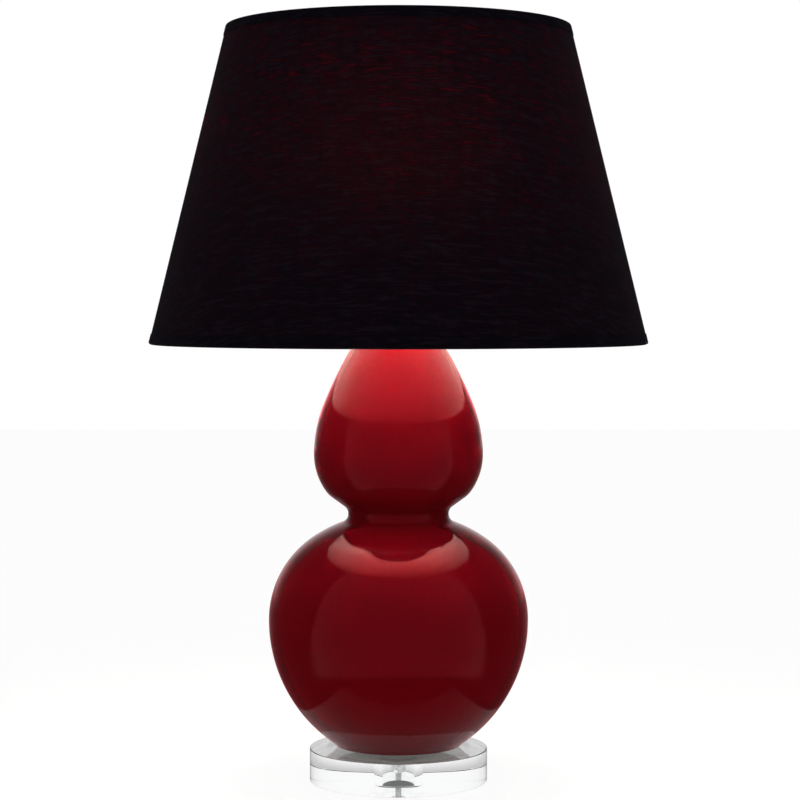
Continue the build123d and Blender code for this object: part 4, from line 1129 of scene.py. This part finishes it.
ARM_START, RISE_RUN, ARM_BEND, ARM_FLAT = 10.0, 14.0, 12.0, 0.3
ARM_Z = heights("spider_washer")[1] + RING_T / 2 - ARM_FLAT
ring_low = heights("shade_top_ring")[0]
ring_r = radius_of("shade_top_ring") - RING_T / 2
arm_points = [(ARM_START, ARM_Z), (ring_r - RISE_RUN, ARM_Z), (ring_r - 1.0, ring_low + 0.3)]
arms = bmesh.new()
for k in range(3):
    arm = bent_wire([(x * MM, 0, z * MM) for x, z in arm_points], [ARM_BEND * MM], RING_T * MM, 12)
    turn = Matrix.Rotation(math.radians(90 + 120 * k), 4, "Z")
    bmesh.ops.transform(arm, matrix=turn, verts=arm.verts)
    loose = bpy.data.meshes.new("arm")
    arm.to_mesh(loose)
    arm.free()
    arms.from_mesh(loose)
    bpy.data.meshes.remove(loose)
finished("spider_arms_wire", arms, "shade", white_wire, "shade_wire", "spider_arms")

# %% [markdown]
# ## CAD parts that only need their finish
#
# The remaining small parts are right as they come, so they keep their CAD mesh and get one of the
# finishes above in their own material slots.

# %% Finishes for the CAD parts
finishes = {
    zinc: ["base_washer", "base_lock_washer", "rod_coupling", "lamp_pipe", "set_screw"],
    vinyl: ["spacer_gasket"],
    black_plastic: ["cord_bushing"],
    nickel: ["harp_saddle", "harp_seat", "holder_cap", "holder_shell"],
    card: ["holder_liner"],
    phenolic: ["switch_block"],
    brass: ["terminal_screws", "center_contact", "switch_stem"],
    base_glass: ["bulb_insulator"],
    solder: ["bulb_tip"],
    white_wire: ["spider_washer"],
}
for finish, names in finishes.items():
    for name in names:
        for place in nodes[name].material_slots:
            place.material = finish
print("gave a finish to", sum(len(names) for names in finishes.values()), "CAD parts")

# %% [markdown]
# ## Studio
#
# The photo is a catalogue shot on pure white: a white floor and backdrop, soft light from all round
# and a dark room behind the camera. The dark room matters, because a glossy glaze shows it: the
# body's middle stays deep and only its edges catch the white behind it. So the world is plain and
# even for lighting, and for mirrors it is pale behind the lamp, dim at the sides and softly lit in
# front. The floor does the same, with a pale plinth round the lamp.

# %% What mirrors see
AMBIENT = 0.42
BACK_GLOW, BACK_NARROW, ROOM_GLOW, WINDOW_GLOW = 0.95, 11.0, 0.02, 0.47
WINDOW_TURN, WINDOW_EDGE = math.radians(80.0), 0.10


def in_front(finish, side, back, edge):
    """1 in front of the lamp, within the window's turn to both sides, and 0 elsewhere."""
    off_side = finish.node("Math", {"operation": "ABSOLUTE"}, {0: side})
    return finish.between(-1.0 * back - off_side / math.tan(WINDOW_TURN), 0.0, edge)


def rays(finish):
    """What kind of ray looks: the camera's, a mirrored one or one seen through glass."""
    kinds = "Is Camera Ray", "Is Glossy Ray", "Is Transmission Ray"
    seen, mirrored, through = [finish.node("LightPath", output=kind) for kind in kinds]
    return seen, mirrored * (1.0 - through), through


# %% World
sky = Finish("studio", "worlds")
side, back = sky.parts(sky.node("TexCoord", output="Generated"))[:2]
behind = sky.node("Math", {"operation": "MAXIMUM"}, {0: back, 1: 0.0}) ** BACK_NARROW
room = ROOM_GLOW + BACK_GLOW * behind + WINDOW_GLOW * in_front(sky, side, back, WINDOW_EDGE)
seen, mirrored, through = rays(sky)
light = seen + through + mirrored * room + (1.0 - seen - through - mirrored) * AMBIENT
backdrop = sky.node("Background", None, {"Color": (1, 1, 1, 1), "Strength": light})
bpy.context.scene.world = sky.done(backdrop)

# %% Floor
floor_mesh = bmesh.new()
bmesh.ops.create_grid(floor_mesh, x_segments=1, y_segments=1, size=6.0)
floor_data = bpy.data.meshes.new("floor")
floor_mesh.to_mesh(floor_data)
floor_mesh.free()
floor = bpy.data.objects.new("floor", floor_data)
floor.location.z = -0.0002
bpy.context.scene.collection.objects.link(floor)

PLINTH, PLINTH_GLOW, POOL_R = 0.155, 0.20, 0.27
# SHADOW, SHADOW_INNER and SHADOW_FADE set a painted shadow on the floor under the disc
SHADOW, SHADOW_INNER, SHADOW_FADE = 0.95, 0.03, 0.06
pale = Finish("pale_floor")
x, y = pale.parts(pale.place())[:2]
wide, long = [pale.node("Math", {"operation": "ABSOLUTE"}, {0: way}) for way in (x, y)]
apart = pale.node("Math", {"operation": "MAXIMUM"}, {0: wide, 1: long})
near = 1.0 - pale.between(apart, PLINTH, PLINTH + 0.006)
away = pale.node("Math", {"operation": "SQRT"}, {0: x * x + y * y})
pool = pale.between(away, POOL_R - 0.03, POOL_R + 0.03) * in_front(pale, x, y, WINDOW_EDGE)
behind = pale.node("Math", {"operation": "MAXIMUM"}, {0: y / away, 1: 0.0}) ** BACK_NARROW
reflected = ROOM_GLOW + PLINTH_GLOW * near + WINDOW_GLOW * pool + 0.3 * BACK_GLOW * behind
seen, mirrored, through = rays(pale)
shown = seen + through
matt = pale.node("BsdfDiffuse", None, {"Color": (0.82, 0.82, 0.82, 1.0)})
# under is a painted shadow beneath the disc: the floor's glow is lowered there only for rays seen through
# the acrylic
under = 1.0 - pale.between(away, SHADOW_INNER, DISC_R * MM + SHADOW_FADE)
glow = 1.06 * shown - SHADOW * through * under + mirrored * reflected
shine = pale.node("Emission", None, {"Color": (1, 1, 1, 1), "Strength": glow})
share = 0.88 * shown + mirrored
top = pale.node("MixShader", None, {0: share, 1: matt, 2: shine})
below = pale.node("NewGeometry", output="Backfacing")
clear = pale.node("BsdfTransparent")
floor_data.materials.append(pale.done(pale.node("MixShader", None, {0: below, 1: top, 2: clear})))

# %% Soft key lights
KEY_POWER, KEY_AIM = 5.0, Vector((0, 0, 0.35))
for name, x in (("key_left", -1.6), ("key_right", 1.6)):
    data = bpy.data.lights.new(name, "AREA")
    data.shape, data.size, data.size_y, data.energy = "RECTANGLE", 1.0, 1.6, KEY_POWER
    light = bpy.data.objects.new(name, data)
    light.location = (x, -1.6, 1.5)
    light.rotation_euler = (KEY_AIM - light.location).to_track_quat("-Z", "Y").to_euler()
    light.visible_glossy = False
    bpy.context.scene.collection.objects.link(light)

# %% [markdown]
# ## Camera
#
# The photo was taken from about two metres away, just under half a metre above the table, looking
# slightly down. Its horizon lies 100 pixels above the middle of the frame, which gives the tilt.
# The photo's ellipses don't agree on one horizon, so this one is a compromise between them.

# %% Camera
PICTURE = 800
FOCUS_PX, HORIZON_PX = 2278.0, 300.0
CAMERA_PLACE = (0.0015, -2.2089, 0.4676)
camera_data = bpy.data.cameras.new("camera")
camera_data.sensor_width = 36.0
camera_data.lens = FOCUS_PX / PICTURE * camera_data.sensor_width
camera = bpy.data.objects.new("camera", camera_data)
camera.location = CAMERA_PLACE
tilt = math.atan((PICTURE / 2 - HORIZON_PX) / FOCUS_PX)
camera.rotation_euler = (math.radians(90) - tilt, 0, 0)
bpy.context.scene.collection.objects.link(camera)
bpy.context.scene.camera = camera
bpy.context.scene.view_settings.view_transform = "Standard"
print("lens", round(camera_data.lens, 1), "mm, tilt", round(math.degrees(tilt), 2), "degrees")
